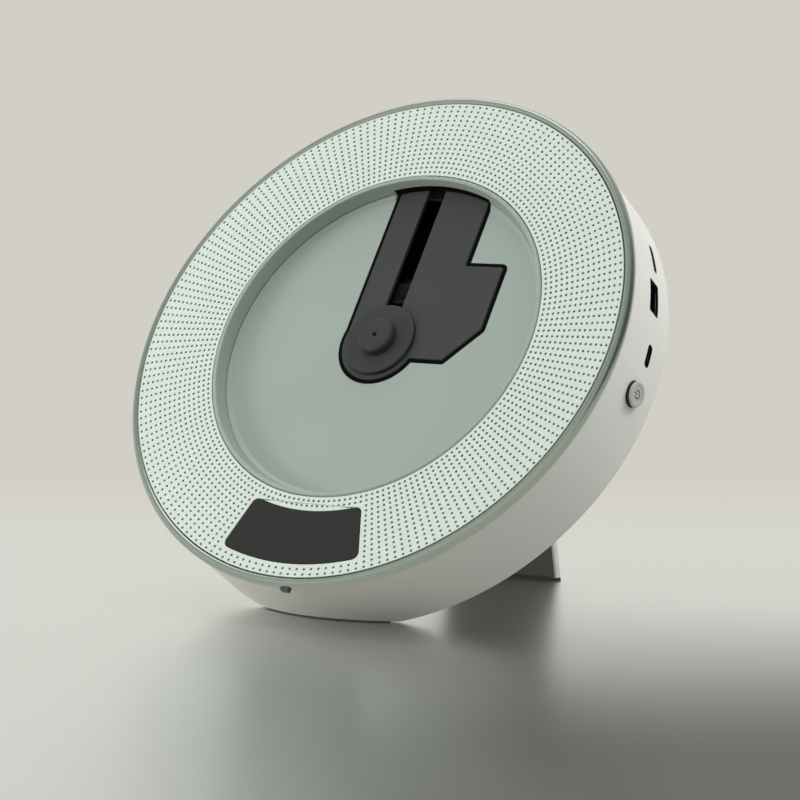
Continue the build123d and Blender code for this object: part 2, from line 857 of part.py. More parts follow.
# Chassis of the mechanism with its rod blocks, hung on four rubber dampers.
gear_centre = (rack_line + rack_module * pinion_teeth / 2, gear_y)
motor_reach = gear_module * (gear_teeth + motor_teeth) / 2
motor_centre = tuple(
    c + m for c, m in zip(gear_centre, polar(motor_reach, motor_side_angle))
)
rod_blocks = [
    (side * rod_spacing, y)
    for side in (-1, 1)
    for y in (rod_start + rod_block / 2, rod_end - rod_block / 2)
]
rod_middle = (rod_start + rod_end) / 2
with BuildPart() as mech_chassis:
    with BuildSketch(at(chassis_depth + chassis_plate)):
        with BuildLine():
            Polyline(
                (chassis_left, chassis_bottom),
                (chassis_right, chassis_bottom),
                (chassis_right, chassis_shoulder_y),
                (chassis_top_right, chassis_shoulder_y),
                (chassis_top_right, chassis_top),
                (chassis_left, chassis_top),
                close=True,
            )
        make_face()
        fillet(vertices(), 3)
        with Locations(*damper_points):
            Circle(damper_waist + 0.1, mode=Mode.SUBTRACT)
        with Locations(gear_centre):
            Circle(stud_radius, mode=Mode.SUBTRACT)
        with Locations(motor_centre):
            Circle(2.0, mode=Mode.SUBTRACT)
    extrude(amount=chassis_plate)
    with BuildSketch(at(chassis_depth)):
        with Locations(*rod_blocks):
            Rectangle(rod_block_width, rod_block)
    extrude(amount=chassis_depth - rod_depth + rod_radius + 0.75)
    with BuildSketch(Plane(origin=at(rod_depth).from_local_coords((0, rod_start, 0)), x_dir=face.x_dir,
                           z_dir=face.y_dir)):
        with Locations((-rod_spacing, 0), (rod_spacing, 0)):
            Circle(rod_radius)
    extrude(amount=rod_end - rod_start, mode=Mode.SUBTRACT)
save(mech_chassis, "mech_chassis")

with BuildPart() as guide_rods:
    with BuildSketch(Plane(origin=at(rod_depth).from_local_coords((0, rod_start, 0)), x_dir=face.x_dir,
                           z_dir=face.y_dir)):
        with Locations((-rod_spacing, 0), (rod_spacing, 0)):
            Circle(rod_radius)
    extrude(amount=rod_end - rod_start)
save(guide_rods, "guide_rods")

with BuildPart() as chassis_dampers:
    with BuildSketch(at(chassis_depth)):
        with Locations(*damper_points):
            Circle(damper_radius)
    extrude(amount=damper_flange)
    with BuildSketch(at(chassis_depth + chassis_plate + damper_flange)):
        with Locations(*damper_points):
            Circle(damper_radius)
    extrude(amount=damper_flange)
    with BuildSketch(at(chassis_depth + chassis_plate)):
        with Locations(*damper_points):
            Circle(damper_waist + 0.1)
    extrude(amount=chassis_plate)
    with BuildSketch(at(chassis_depth + chassis_plate + damper_flange)):
        with Locations(*damper_points):
            Circle(damper_screw)
    extrude(amount=chassis_plate + 2 * damper_flange, mode=Mode.SUBTRACT)
save(chassis_dampers, "chassis_dampers")

damper_screws = make_screws(
    damper_points,
    chassis_depth + chassis_plate + damper_flange,
    damper_screw,
    damper_screw_head,
    damper_screw_head_height,
    damper_screw_length,
)
save(damper_screws, "damper_screws")

# Sled on its two rods, with the rack, the yokes and the lens.
sled_front_y = sled_home - sled_length / 2
yoke_y = holder_length / 2 + magnet_gap + magnet_thickness / 2
rack_pitch = math.pi * rack_module
rack_bottom = gear_y - (rack_teeth_below + 0.5) * rack_pitch
rack_top = gear_y + 1.5 * rack_pitch
slope = math.tan(math.radians(20))


def tooth_half(pitch_half, height):
    """Half width of a straight rack tooth at a height above the pitch line."""
    return pitch_half - slope * height


rack_half = (rack_pitch / 2 - backlash) / 2
rack_root = -rack_module
rack_points = [(sled_half_width, rack_top), (sled_half_width, rack_bottom)]
for tooth in range(-rack_teeth_below, 2):
    middle = gear_y + tooth * rack_pitch
    rack_points += [
        (rack_line + rack_root, middle - tooth_half(rack_half, rack_root)),
        (rack_line + rack_addendum, middle - tooth_half(rack_half, rack_addendum)),
        (rack_line + rack_addendum, middle + tooth_half(rack_half, rack_addendum)),
        (rack_line + rack_root, middle + tooth_half(rack_half, rack_root)),
    ]
rack_points.append((rack_line + rack_root, rack_top))
rack_points.insert(2, (rack_line + rack_root, rack_bottom))

with BuildPart() as optical_sled:
    with BuildSketch(at(sled_top + sled_height)):
        with Locations((0, sled_home)):
            Rectangle(2 * sled_half_width, sled_length)
    extrude(amount=sled_height)
    with BuildSketch(at(rack_depth + rack_height)):
        with BuildLine():
            Polyline(*rack_points, close=True)
        make_face()
    extrude(amount=rack_height)
    with BuildSketch(Plane(origin=at(rod_depth).from_local_coords((0, sled_front_y, 0)),
                           x_dir=face.x_dir, z_dir=face.y_dir)):
        with Locations((-rod_spacing, 0), (rod_spacing, 0)):
            Circle(rod_radius + running_gap)
    extrude(amount=sled_length, mode=Mode.SUBTRACT)
save(optical_sled, "optical_sled")

with BuildPart() as lens_magnets:
    with BuildSketch(at(sled_top)):
        with Locations((0, sled_home - yoke_y), (0, sled_home + yoke_y)):
            Rectangle(8, magnet_thickness)
    extrude(amount=sled_top - magnet_top)
save(lens_magnets, "lens_magnets")

with BuildPart() as lens_holder:
    with BuildSketch(at(holder_top + holder_height)):
        with Locations((0, sled_home)):
            RectangleRounded(holder_width, holder_length, 1.2)
    extrude(amount=holder_height)
    with BuildSketch(at(holder_top + holder_height)):
        with Locations((0, sled_home)):
            Circle(lens_radius - 0.4)
    extrude(amount=holder_height, mode=Mode.SUBTRACT)
save(lens_holder, "lens_holder")

with BuildPart() as objective_lens:
    with BuildSketch(at(holder_top)):
        with Locations((0, sled_home)):
            Circle(lens_radius)
    extrude(amount=lens_height)
    chamfer(edges().group_by(spin_axis)[-1], 0.25)
save(objective_lens, "objective_lens")


def gear_points(teeth, module, addendum, dedendum, centre, phase):
    """Outline of a spur gear with involute flanks of 20 degrees."""
    pitch_radius = module * teeth / 2
    base = pitch_radius * math.cos(math.radians(20))
    tip = pitch_radius + addendum
    root = pitch_radius - dedendum
    half = (math.pi * module / 2 - backlash) / 2 / pitch_radius
    offset_angle = math.tan(math.radians(20)) - math.radians(20)
    start = max(root, base)
    flank = []
    for step in range(5):
        radius = start + (tip - start) * step / 4
        pressure = math.acos(base / radius)
        flank.append((radius, half + offset_angle - math.tan(pressure) + pressure))
    if root < base:
        flank.insert(0, (root, flank[0][1]))
    points = []
    for tooth in range(teeth):
        middle = phase + 360 / teeth * tooth
        for radius, angle in flank:
            points.append(polar(radius, middle - math.degrees(angle)))
        for radius, angle in reversed(flank):
            points.append(polar(radius, middle + math.degrees(angle)))
    return [(x + centre[0], y + centre[1]) for x, y in points]


pinion_phase = 180 + 180 / pinion_teeth
motor_phase = motor_side_angle + 180 + 180 / motor_teeth
pinion_back = rack_depth + pinion_height
with BuildPart() as drive_gear:
    with BuildSketch(at(pinion_back)):
        with BuildLine():
            Polyline(
                *gear_points(
                    pinion_teeth, rack_module, rack_addendum, rack_module, gear_centre, pinion_phase
                ),
                close=True,
            )
        make_face()
    extrude(amount=pinion_height)
    with BuildSketch(at(gear_depth + gear_height)):
        with BuildLine():
            Polyline(
                *gear_points(
                    gear_teeth, gear_module, gear_addendum, gear_module + 0.1, gear_centre,
                    motor_side_angle,
                ),
                close=True,
            )
        make_face()
    extrude(amount=gear_height)
    with BuildSketch(at(chassis_depth - 0.4)):
        with Locations(gear_centre):
            Circle(pinion_hub)
    extrude(amount=chassis_depth - 0.4 - pinion_back)
    with BuildSketch(at(chassis_depth)):
        with Locations(gear_centre):
            Circle(stud_radius + running_gap)
    extrude(amount=chassis_depth - rack_depth, mode=Mode.SUBTRACT)
save(drive_gear, "drive_gear")

with BuildPart() as gear_stud:
    with BuildSketch(at(chassis_depth + chassis_plate)):
        with Locations(gear_centre):
            Circle(stud_radius)
    extrude(amount=chassis_depth + chassis_plate - stud_top)
    with BuildSketch(at(stud_top + 0.8)):
        with Locations(gear_centre):
            Circle(stud_head)
    extrude(amount=0.8)
save(gear_stud, "gear_stud")

sled_motor_back = chassis_depth + chassis_plate + sled_motor_height
with BuildPart() as sled_motor:
    with BuildSketch(at(sled_motor_back)):
        with Locations(motor_centre):
            Circle(sled_motor_radius)
    extrude(amount=sled_motor_height)
    chamfer(edges().group_by(spin_axis)[0], 0.5)
    with BuildSketch(at(chassis_depth + chassis_plate)):
        with Locations(motor_centre):
            Circle(1.9)
    extrude(amount=1.2)
    with BuildSketch(at(sled_motor_back - 1)):
        with Locations(motor_centre):
            Circle(sled_shaft_radius + running_gap)
    extrude(amount=sled_motor_height + 1, mode=Mode.SUBTRACT)
save(sled_motor, "sled_motor")

with BuildPart() as sled_motor_shaft:
    with BuildSketch(at(sled_motor_back - 1.2)):
        with Locations(motor_centre):
            Circle(sled_shaft_radius)
    extrude(amount=sled_motor_back - 1.2 - gear_depth + 0.6)
save(sled_motor_shaft, "sled_motor_shaft")

with BuildPart() as motor_pinion:
    with BuildSketch(at(gear_depth + gear_height + 0.3)):
        with BuildLine():
            Polyline(
                *gear_points(
                    motor_teeth, gear_module, gear_module, gear_addendum + 0.15, motor_centre,
                    motor_phase,
                ),
                close=True,
            )
        make_face()
        with Locations(motor_centre):
            Circle(sled_shaft_radius, mode=Mode.SUBTRACT)
    extrude(amount=gear_height + 0.6)
save(motor_pinion, "motor_pinion")

# Two speakers, mirrored about the middle.
speaker_origin = face.from_local_coords((*polar(speaker_ring, speaker_angles[0]), 0))
speaker_section = Plane(origin=speaker_origin, x_dir=face.x_dir, z_dir=-face.y_dir)
speaker_axis = Axis(speaker_origin, face.z_dir)
speaker_seat = baffle_back
waist_depth = speaker_seat + speaker_cone_depth
with BuildPart() as speaker_frames:
    with BuildSketch(speaker_section):
        with BuildLine():
            Polyline(
                (speaker_mouth, -speaker_seat),
                (speaker_flange_radius, -speaker_seat),
                (speaker_flange_radius, -speaker_seat - speaker_flange),
                (speaker_mouth + 0.6, -speaker_seat - speaker_flange),
                (speaker_magnet_radius, -waist_depth),
                (speaker_magnet_radius, -waist_depth - speaker_magnet_height),
                (0, -waist_depth - speaker_magnet_height),
                (0, -waist_depth - 0.7),
                (speaker_waist - 0.2, -waist_depth - 0.7),
                (speaker_waist - 0.2, -waist_depth + 0.3),
                (speaker_mouth - 0.6, -speaker_seat - 1.1),
                (speaker_mouth, -speaker_seat - 1.1),
                close=True,
            )
        make_face()
    revolve(axis=speaker_axis)
    mirror(about=Plane.YZ)
save(speaker_frames, "speaker_frames")

with BuildPart() as speaker_cones:
    with BuildSketch(speaker_section):
        with BuildLine():
            Polyline(
                (0, -waist_depth + 2.0),
                (speaker_coil, -waist_depth + 2.0),
                (speaker_mouth - 1.4, -speaker_seat - 0.5),
                (speaker_mouth, -speaker_seat - 0.5),
                (speaker_mouth, -speaker_seat - 1.1),
                (speaker_mouth - 1.0, -speaker_seat - 1.1),
                (speaker_coil + 0.2, -waist_depth + 1.3),
                (speaker_coil - 1, -waist_depth + 1.3),
                (speaker_coil - 1, -waist_depth - 0.7),
                (0, -waist_depth - 0.7),
                close=True,
            )
        make_face()
    revolve(axis=speaker_axis)
    mirror(about=Plane.YZ)
save(speaker_cones, "speaker_cones")

# Display parts behind the dark window.
with BuildPart() as display_board:
    with BuildSketch(at(display_board_depth + display_board_thickness)):
        with Locations((0, display_board_y)):
            Rectangle(*display_board_size)
    extrude(amount=display_board_thickness)
save(display_board, "display_board")

digits_front = baffle_front + digit_gap
with BuildPart() as display_digits:
    with BuildSketch(at(display_board_depth)):
        with Locations((0, display_board_y)):
            Rectangle(*digits_size)
    extrude(amount=display_board_depth - digits_front)
save(display_digits, "display_digits")

# Port board inside the right-hand wall, with its sockets and the power switch.
board_centre = (board_from + board_to) / 2
board_screw_places = [polar(board_screw_ring, a) for a in board_screw_angles]
flange_seat = housing_radius(button_depth) - housing_wall - 0.43
flange_back = flange_seat - button_flange
with BuildPart() as main_board:
    with BuildSketch(at(board_depth + board_thickness)):
        Circle(board_outer)
        Circle(board_inner, mode=Mode.SUBTRACT)
        with BuildLine():
            Polyline(
                (0, 0),
                polar(2 * board_outer, board_from),
                polar(2 * board_outer, board_to),
                close=True,
            )
        make_face(mode=Mode.INTERSECT)
        with Locations(polar(board_outer, button_angle)):
            Rectangle(
                2 * (board_outer - flange_back + 1.2),
                switch_notch,
                rotation=button_angle,
                mode=Mode.SUBTRACT,
            )
        with Locations(*board_screw_places):
            Circle(1.0, mode=Mode.SUBTRACT)
    extrude(amount=board_thickness)
save(main_board, "main_board")


def make_board_screws():
    """Screws with their heads on the front of the board."""
    with BuildPart() as screws:
        with BuildSketch(at(board_depth)):
            with Locations(*board_screw_places):
                Circle(1.9)
        extrude(amount=1.0)
        with BuildSketch(at(board_depth + board_thickness + 5)):
            with Locations(*board_screw_places):
                Circle(0.9)
        extrude(amount=board_thickness + 5)
        with BuildSketch(at(board_depth - 0.5)):
            with Locations(*board_screw_places):
                Rectangle(2.2, 0.5)
                Rectangle(0.5, 2.2)
        extrude(amount=0.5, mode=Mode.SUBTRACT)
    return screws


board_screws = make_board_screws()
save(board_screws, "board_screws")


def make_socket(angle, body, cavity, round_by):
    """A metal shell seated on the board, open through the wall."""
    width, height, length = body
    depth = board_depth - height / 2
    mouth = housing_radius(depth) - port_recess
    with BuildPart() as socket:
        with BuildSketch(wall_plane(angle, depth, mouth)):
            RectangleRounded(width, height, round_by)
        extrude(amount=-length)
        with BuildSketch(wall_plane(angle, depth, mouth)):
            RectangleRounded(cavity[0], cavity[1], round_by * 0.8)
        extrude(amount=-cavity[2], mode=Mode.SUBTRACT)
    return socket


def make_tongue(angle, body, cavity, size, shift):
    """The insulating tongue inside a socket."""
    depth = board_depth - body[1] / 2
    mouth = housing_radius(depth) - port_recess
    with BuildPart() as tongue:
        with BuildSketch(wall_plane(angle, depth, mouth - cavity[2])):
            with Locations((0, shift)):
                Rectangle(size[0], size[1])
        extrude(amount=size[2])
    return tongue


usb_a_cavity = (12.5, 5.12, 9.0)
usb_c_cavity = (8.34, 2.56, 6.2)
card_cavity = (11.2, 1.1, 12.0)
usb_a_tongue_size = (11.1, 1.84, 8.4)
usb_c_tongue_size = (6.69, 0.7, 5.4)
usb_a_socket = make_socket(usb_a_angle, usb_a_body, usb_a_cavity, 0.4)
save(usb_a_socket, "usb_a_socket")
usb_c_socket = make_socket(usb_c_angle, usb_c_body, usb_c_cavity, 1.2)
save(usb_c_socket, "usb_c_socket")
card_socket = make_socket(card_angle, card_body, card_cavity, 0.2)
save(card_socket, "card_socket")
usb_a_tongue = make_tongue(usb_a_angle, usb_a_body, usb_a_cavity, usb_a_tongue_size, 1.1)
save(usb_a_tongue, "usb_a_tongue")
usb_c_tongue = make_tongue(usb_c_angle, usb_c_body, usb_c_cavity, usb_c_tongue_size, 0)
save(usb_c_tongue, "usb_c_tongue")

# Power button, its plunger and the switch it works.
plunger_length = 2.6
switch_front = flange_back - 1.4 - plunger_length + 1.2
with BuildPart() as power_button:
    with BuildSketch(wall_plane(button_angle, button_depth, flange_seat)):
        Circle(button_radius)
    extrude(amount=housing_radius(button_depth) + button_proud - flange_seat)
    with BuildSketch(wall_plane(button_angle, button_depth, flange_back)):
        Circle(button_radius + 1)
    extrude(amount=button_flange)
    with BuildSketch(wall_plane(button_angle, button_depth, flange_back)):
        Circle(1.5)
    extrude(amount=-1.4)
save(power_button, "power_button")

with BuildPart() as switch_plunger:
    with BuildSketch(wall_plane(button_angle, button_depth, flange_back - 1.4)):
        Circle(plunger_radius)
    extrude(amount=-plunger_length)
save(switch_plunger, "switch_plunger")

with BuildPart() as power_switch:
    with BuildSketch(wall_plane(button_angle, (board_depth + button_depth - 3) / 2, switch_front)):
        Rectangle(switch_size, board_depth - button_depth + 3)
    extrude(amount=-switch_size)
    with BuildSketch(wall_plane(button_angle, button_depth, switch_front)):
        Circle(plunger_radius + 0.05)
    extrude(amount=-2.4, mode=Mode.SUBTRACT)
save(power_switch, "power_switch")

# Battery glued to the block behind the kickstand pocket.
with BuildPart() as battery_pack:
    with BuildSketch(at(pocket_front)):
        with Locations((0, battery_y)):
            Rectangle(battery_size[0], battery_size[1])
    extrude(amount=battery_size[2])
    fillet(edges(), 1.5)
save(battery_pack, "battery_pack")

# Kickstand on its pin, its end cut level with the table.
hinge_point = at(hinge_depth).from_local_coords((0, hinge_y, 0))
leg_plane = Plane(origin=hinge_point, x_dir=(1, 0, 0), z_dir=(0, -leg_cos, -leg_sin))
leg_side = Plane(
    origin=hinge_point - Vector(leg_width / 2, 0, 0), x_dir=leg_plane.y_dir, z_dir=(1, 0, 0)
)
half_leg = leg_width / 2
leg_reach = leg_length + 2
leg_bottom = -leg_length - 0.3
with BuildPart() as leg_blank:
    with BuildSketch(leg_plane):
        with Locations((0, (leg_heel - leg_reach) / 2)):
            Rectangle(leg_width, leg_heel + leg_reach)
    extrude(amount=leg_thickness / 2, both=True)
    with BuildSketch(leg_side):
        Circle(hinge_barrel)
    extrude(amount=leg_width)
    split(bisect_by=Plane.XY, keep=Keep.TOP)
    fillet(edges().group_by(Axis.Z)[1].filter_by(lambda e: abs(e.center().X) > half_leg - 0.1), leg_corner)
    with BuildSketch(leg_side):
        Circle(hinge_pin_radius + running_gap)
    extrude(amount=leg_width, mode=Mode.SUBTRACT)

liner_bottom = -leg_length + 6
liner_top = -hinge_barrel - 3
with BuildPart() as kickstand_liner:
    with BuildSketch(leg_plane.offset(leg_thickness / 2 - liner_thickness)):
        with Locations((0, (liner_bottom + liner_top) / 2)):
            RectangleRounded(leg_width - 2 * liner_inset, liner_top - liner_bottom, 1)
    extrude(amount=liner_thickness)
save(kickstand_liner, "kickstand_liner")

with BuildPart() as kickstand:
    add(leg_blank.part)
    split(bisect_by=Plane.XY.offset(pad_height), keep=Keep.TOP)
    add(kickstand_liner.part, mode=Mode.SUBTRACT)
save(kickstand, "kickstand")

with BuildPart() as kickstand_pad:
    add(leg_blank.part)
    split(bisect_by=Plane.XY.offset(pad_height), keep=Keep.BOTTOM)
save(kickstand_pad, "kickstand_pad")

with BuildPart() as kickstand_pin:
    with BuildSketch(Plane(origin=hinge_point - Vector(pin_half - 0.2, 0, 0), x_dir=face.y_dir,
                           z_dir=(1, 0, 0))):
        Circle(hinge_pin_radius)
    extrude(amount=2 * pin_half - 0.4)
save(kickstand_pin, "kickstand_pin")
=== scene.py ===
import bpy
import bmesh
import math
from mathutils import Matrix, Vector


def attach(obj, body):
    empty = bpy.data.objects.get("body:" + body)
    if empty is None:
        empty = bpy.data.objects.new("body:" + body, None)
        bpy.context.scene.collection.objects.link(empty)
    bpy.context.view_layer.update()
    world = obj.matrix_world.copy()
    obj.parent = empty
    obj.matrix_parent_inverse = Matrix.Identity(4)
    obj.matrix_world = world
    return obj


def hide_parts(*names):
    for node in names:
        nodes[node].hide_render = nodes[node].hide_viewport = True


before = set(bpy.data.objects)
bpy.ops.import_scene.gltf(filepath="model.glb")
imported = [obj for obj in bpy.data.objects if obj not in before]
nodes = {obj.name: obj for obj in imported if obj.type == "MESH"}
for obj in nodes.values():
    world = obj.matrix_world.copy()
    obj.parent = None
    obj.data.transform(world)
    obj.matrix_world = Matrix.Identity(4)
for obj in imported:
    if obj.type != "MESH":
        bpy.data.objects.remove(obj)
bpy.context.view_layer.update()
mm = 0.001

# How the player stands: the face leans back, its centre is above the table.
stance = dict(lean=34.7, height=104.0, setback=-16.0858)
leanAngle = math.radians(stance["lean"])
faceAcross = Vector((1, 0, 0))
faceUp = Vector((0, math.sin(leanAngle), math.cos(leanAngle)))
faceOut = Vector((0, -math.cos(leanAngle), math.sin(leanAngle)))
faceCentre = Vector((0, stance["setback"] * mm, stance["height"] * mm))
faceMatrix = Matrix((
    (faceAcross.x, faceUp.x, faceOut.x, faceCentre.x),
    (faceAcross.y, faceUp.y, faceOut.y, faceCentre.y),
    (faceAcross.z, faceUp.z, faceOut.z, faceCentre.z),
    (0, 0, 0, 1),
))
toMetres = Matrix.Scale(mm, 4)
print("frame loaded:", len(nodes), "nodes")


def linear(red, green, blue):
    def one(value):
        value /= 255
        return value / 12.92 if value <= 0.04045 else ((value + 0.055) / 1.055) ** 2.4
    return (one(red), one(green), one(blue), 1)


def newMaterial(name, colour, roughness, metallic=0.0, specular=0.5, coat=0.0, coatRoughness=0.1):
    material = bpy.data.materials.new(name)
    material.use_nodes = True
    shader = material.node_tree.nodes["Principled BSDF"]
    shader.inputs["Base Color"].default_value = colour
    shader.inputs["Roughness"].default_value = roughness
    shader.inputs["Metallic"].default_value = metallic
    shader.inputs["Specular IOR Level"].default_value = specular
    shader.inputs["Coat Weight"].default_value = coat
    shader.inputs["Coat Roughness"].default_value = coatRoughness
    return material


def addNode(owner, kind, values=None):
    node = owner.node_tree.nodes.new(kind)
    for key, value in (values or {}).items():
        node.inputs[key].default_value = value
    return node


def link(owner, source, target):
    owner.node_tree.links.new(source, target)


def objectPoint(owner):
    return addNode(owner, "ShaderNodeTexCoord").outputs["Object"]


def noiseField(owner, scale, detail):
    noise = addNode(owner, "ShaderNodeTexNoise", {"Scale": scale, "Detail": detail})
    link(owner, objectPoint(owner), noise.inputs["Vector"])
    return noise.outputs["Fac"]


def colourRamp(owner, factor, stops):
    ramp = addNode(owner, "ShaderNodeValToRGB")
    link(owner, factor, ramp.inputs["Fac"])
    elements = ramp.color_ramp.elements
    while len(elements) < len(stops):
        elements.new(0.5)
    for element, (position, colour) in zip(elements, stops):
        element.position = position
        element.color = colour
    return ramp.outputs["Color"]


def smoothShare(owner, source, start, end, atStart=0.0, atEnd=1.0):
    limits = {"From Min": start, "From Max": end, "To Min": atStart, "To Max": atEnd}
    share = addNode(owner, "ShaderNodeMapRange", limits)
    share.interpolation_type = "SMOOTHSTEP"
    link(owner, source, share.inputs["Value"])
    return share.outputs["Result"]


def alongDirection(owner, source, direction):
    product = addNode(owner, "ShaderNodeVectorMath")
    product.operation = "DOT_PRODUCT"
    product.inputs[1].default_value = direction
    link(owner, source, product.inputs[0])
    return product.outputs["Value"]


def joinValues(owner, operation, first, second):
    node = addNode(owner, "ShaderNodeMath")
    node.operation = operation
    link(owner, first, node.inputs[0])
    link(owner, second, node.inputs[1])
    return node.outputs[0]


def mixShaders(owner, factor, first, second):
    mix = addNode(owner, "ShaderNodeMixShader")
    link(owner, factor, mix.inputs["Fac"])
    link(owner, first, mix.inputs[1])
    link(owner, second, mix.inputs[2])
    return mix.outputs[0]


def mainShader(material):
    return material.node_tree.nodes["Principled BSDF"]


def bumpNormal(material, height, strength, depth):
    bump = addNode(material, "ShaderNodeBump", {"Strength": strength, "Distance": depth})
    link(material, height, bump.inputs["Height"])
    link(material, bump.outputs["Normal"], mainShader(material).inputs["Normal"])


def mottle(material, scale, low, high, detail=3.0, positions=(0.3, 0.7)):
    colour = colourRamp(material, noiseField(material, scale, detail), list(zip(positions, (low, high))))
    link(material, colour, mainShader(material).inputs["Base Color"])


def unevenGloss(material, scale, low, high, detail=4.0):
    span = addNode(material, "ShaderNodeMapRange", {"To Min": low, "To Max": high})
    link(material, noiseField(material, scale, detail), span.inputs["Value"])
    link(material, span.outputs["Result"], mainShader(material).inputs["Roughness"])


def grain(material, scale, depth, strength=0.3, detail=2.0):
    bumpNormal(material, noiseField(material, scale, detail), strength, depth)


def shaded(colour, factor):
    return tuple(channel * factor for channel in colour[:3]) + (1,)


plasticLook = dict(mottleScale=30.0, glossScale=140.0, smoothest=0.88, roughest=1.12)
metalLook = dict(mottleScale=60.0, darkest=0.92, lightest=1.06, smoothest=0.7, roughest=1.3,
                 grainScale=900.0, grainDepth=0.00001)


def mouldedPlastic(name, colour, roughness, grainScale=2600.0, grainDepth=0.00002, specular=0.5,
                   coat=0.0, metallic=0.0, spread=0.035):
    material = newMaterial(name, colour, roughness, metallic=metallic, specular=specular, coat=coat)
    mottle(material, plasticLook["mottleScale"], shaded(colour, 1 - spread), shaded(colour, 1 + spread))
    unevenGloss(material, plasticLook["glossScale"], roughness * plasticLook["smoothest"],
                min(1.0, roughness * plasticLook["roughest"]))
    grain(material, grainScale, grainDepth)
    return material


def turnedMetal(name, colour, roughness):
    material = newMaterial(name, colour, roughness, metallic=1.0)
    mottle(material, metalLook["mottleScale"], shaded(colour, metalLook["darkest"]),
           shaded(colour, metalLook["lightest"]))
    unevenGloss(material, metalLook["grainScale"], roughness * metalLook["smoothest"],
                roughness * metalLook["roughest"])
    grain(material, metalLook["grainScale"], metalLook["grainDepth"])
    return material


shellPaint = mouldedPlastic("shellPaint", linear(238, 238, 232), 0.45, grainDepth=0.00001, spread=0.012)
bezelGloss = mouldedPlastic("bezelGloss", linear(167, 178, 168), 0.28, grainDepth=0.000004,
                            metallic=0.85, spread=0.02)
grilleEnamel = mouldedPlastic("grilleEnamel", linear(203, 214, 205), 0.55, grainDepth=0.00001,
                              spread=0.012)
wellEnamel = mouldedPlastic("wellEnamel", linear(150, 162, 153), 0.48, grainDepth=0.000008,
                            spread=0.015)
baffleGrey = mouldedPlastic("baffleGrey", linear(90, 96, 91), 0.6)
coverBlack = mouldedPlastic("coverBlack", linear(62, 64, 63), 0.55, grainScale=3600.0,
                            grainDepth=0.00003, specular=0.2)
# Near-black foam for the cover's gasket; on the seat pip the same near-black is painted shade.
gasketFoamAndPaintedShade = mouldedPlastic("gasketFoamAndPaintedShade", linear(9, 10, 9), 0.9, grainScale=1800.0,
                            grainDepth=0.00004, specular=0.1)
turntableBlack = mouldedPlastic("turntableBlack", linear(58, 60, 59), 0.45, grainDepth=0.00001,
                                specular=0.15)
smokedAcrylic = mouldedPlastic("smokedAcrylic", linear(42, 42, 41), 0.3, grainDepth=0.000002,
                               spread=0.01, specular=0.25)
darkPlastic = mouldedPlastic("darkPlastic", linear(16, 17, 17), 0.6, specular=0.2)
standPlastic = mouldedPlastic("standPlastic", linear(226, 228, 222), 0.42, grainDepth=0.00001,
                              spread=0.012)
buttonSatin = mouldedPlastic("buttonSatin", linear(192, 195, 188), 0.36, grainDepth=0.000006)
buttonMark = mouldedPlastic("buttonMark", linear(40, 42, 40), 0.5)
nubGrey = mouldedPlastic("nubGrey", linear(74, 80, 75), 0.4, specular=0.2)
# Painted shade: the dark grey of the button's side below the cap.
buttonShadeSide = mouldedPlastic("buttonShadeSide", linear(48, 50, 47), 0.5, specular=0.2)
acetal = mouldedPlastic("acetal", linear(228, 226, 214), 0.4)
insulator = mouldedPlastic("insulator", linear(14, 14, 14), 0.5, specular=0.2)
rubberDark = mouldedPlastic("rubberDark", linear(44, 44, 41), 0.75, grainScale=1800.0,
                            grainDepth=0.00005)
rubberGrey = mouldedPlastic("rubberGrey", linear(70, 70, 66), 0.7, grainScale=1800.0,
                            grainDepth=0.00005)
linerPad = mouldedPlastic("linerPad", linear(88, 89, 83), 0.7, grainScale=1500.0,
                          grainDepth=0.00006, specular=0.3)
batterySleeve = mouldedPlastic("batterySleeve", linear(150, 158, 168), 0.35, coat=0.3)
coneCoat = mouldedPlastic("coneCoat", linear(34, 34, 36), 0.6)
brightSteel = turnedMetal("brightSteel", linear(205, 205, 200), 0.22)
darkSteel = turnedMetal("darkSteel", linear(44, 45, 45), 0.4)
screwSteel = turnedMetal("screwSteel", linear(180, 182, 180), 0.32)
motorCan = turnedMetal("motorCan", linear(190, 192, 190), 0.3)
sinteredBronze = turnedMetal("sinteredBronze", linear(120, 88, 54), 0.42)

lensGlass = newMaterial("lensGlass", linear(14, 16, 26), 0.3, specular=0.15)
mottle(lensGlass, 90.0, linear(7, 8, 12), linear(11, 12, 17))

boardMask = newMaterial("boardMask", linear(24, 74, 44), 0.35, coat=0.4)
mottle(boardMask, 700.0, linear(18, 62, 36), linear(34, 92, 56), detail=1.0)
grain(boardMask, 900.0, 0.00004)

speakerCloth = newMaterial("speakerCloth", linear(48, 58, 51), 0.9, specular=0.2)
clothWeave = dict(scale=2200.0, distortion=0.4, strength=0.6, depth=0.0001)
threadSets = []
for direction in ("X", "Z"):
    wave = {"Scale": clothWeave["scale"], "Distortion": clothWeave["distortion"]}
    threadSet = addNode(speakerCloth, "ShaderNodeTexWave", wave)
    threadSet.bands_direction = direction
    link(speakerCloth, objectPoint(speakerCloth), threadSet.inputs["Vector"])
    threadSets.append(threadSet.outputs["Fac"])
threads = joinValues(speakerCloth, "MAXIMUM", *threadSets)
bumpNormal(speakerCloth, threads, clothWeave["strength"], clothWeave["depth"])
threadColour = colourRamp(speakerCloth, threads, [(0.0, linear(38, 48, 41)), (1.0, linear(56, 68, 60))])
link(speakerCloth, threadColour, mainShader(speakerCloth).inputs["Base Color"])
print("materials made:", len(bpy.data.materials))


def finishPiece(mesh, name, body, material, slotName, *stoodFor, smoothAngle=35):
    piece = bpy.data.objects.new(name, mesh)
    bpy.context.scene.collection.objects.link(piece)
    mesh.materials.clear()
    mesh.materials.append(material)
    mesh.shade_smooth()
    mesh.set_sharp_from_angle(angle=math.radians(smoothAngle))
    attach(piece, body)
    if stoodFor:
        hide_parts(*stoodFor)


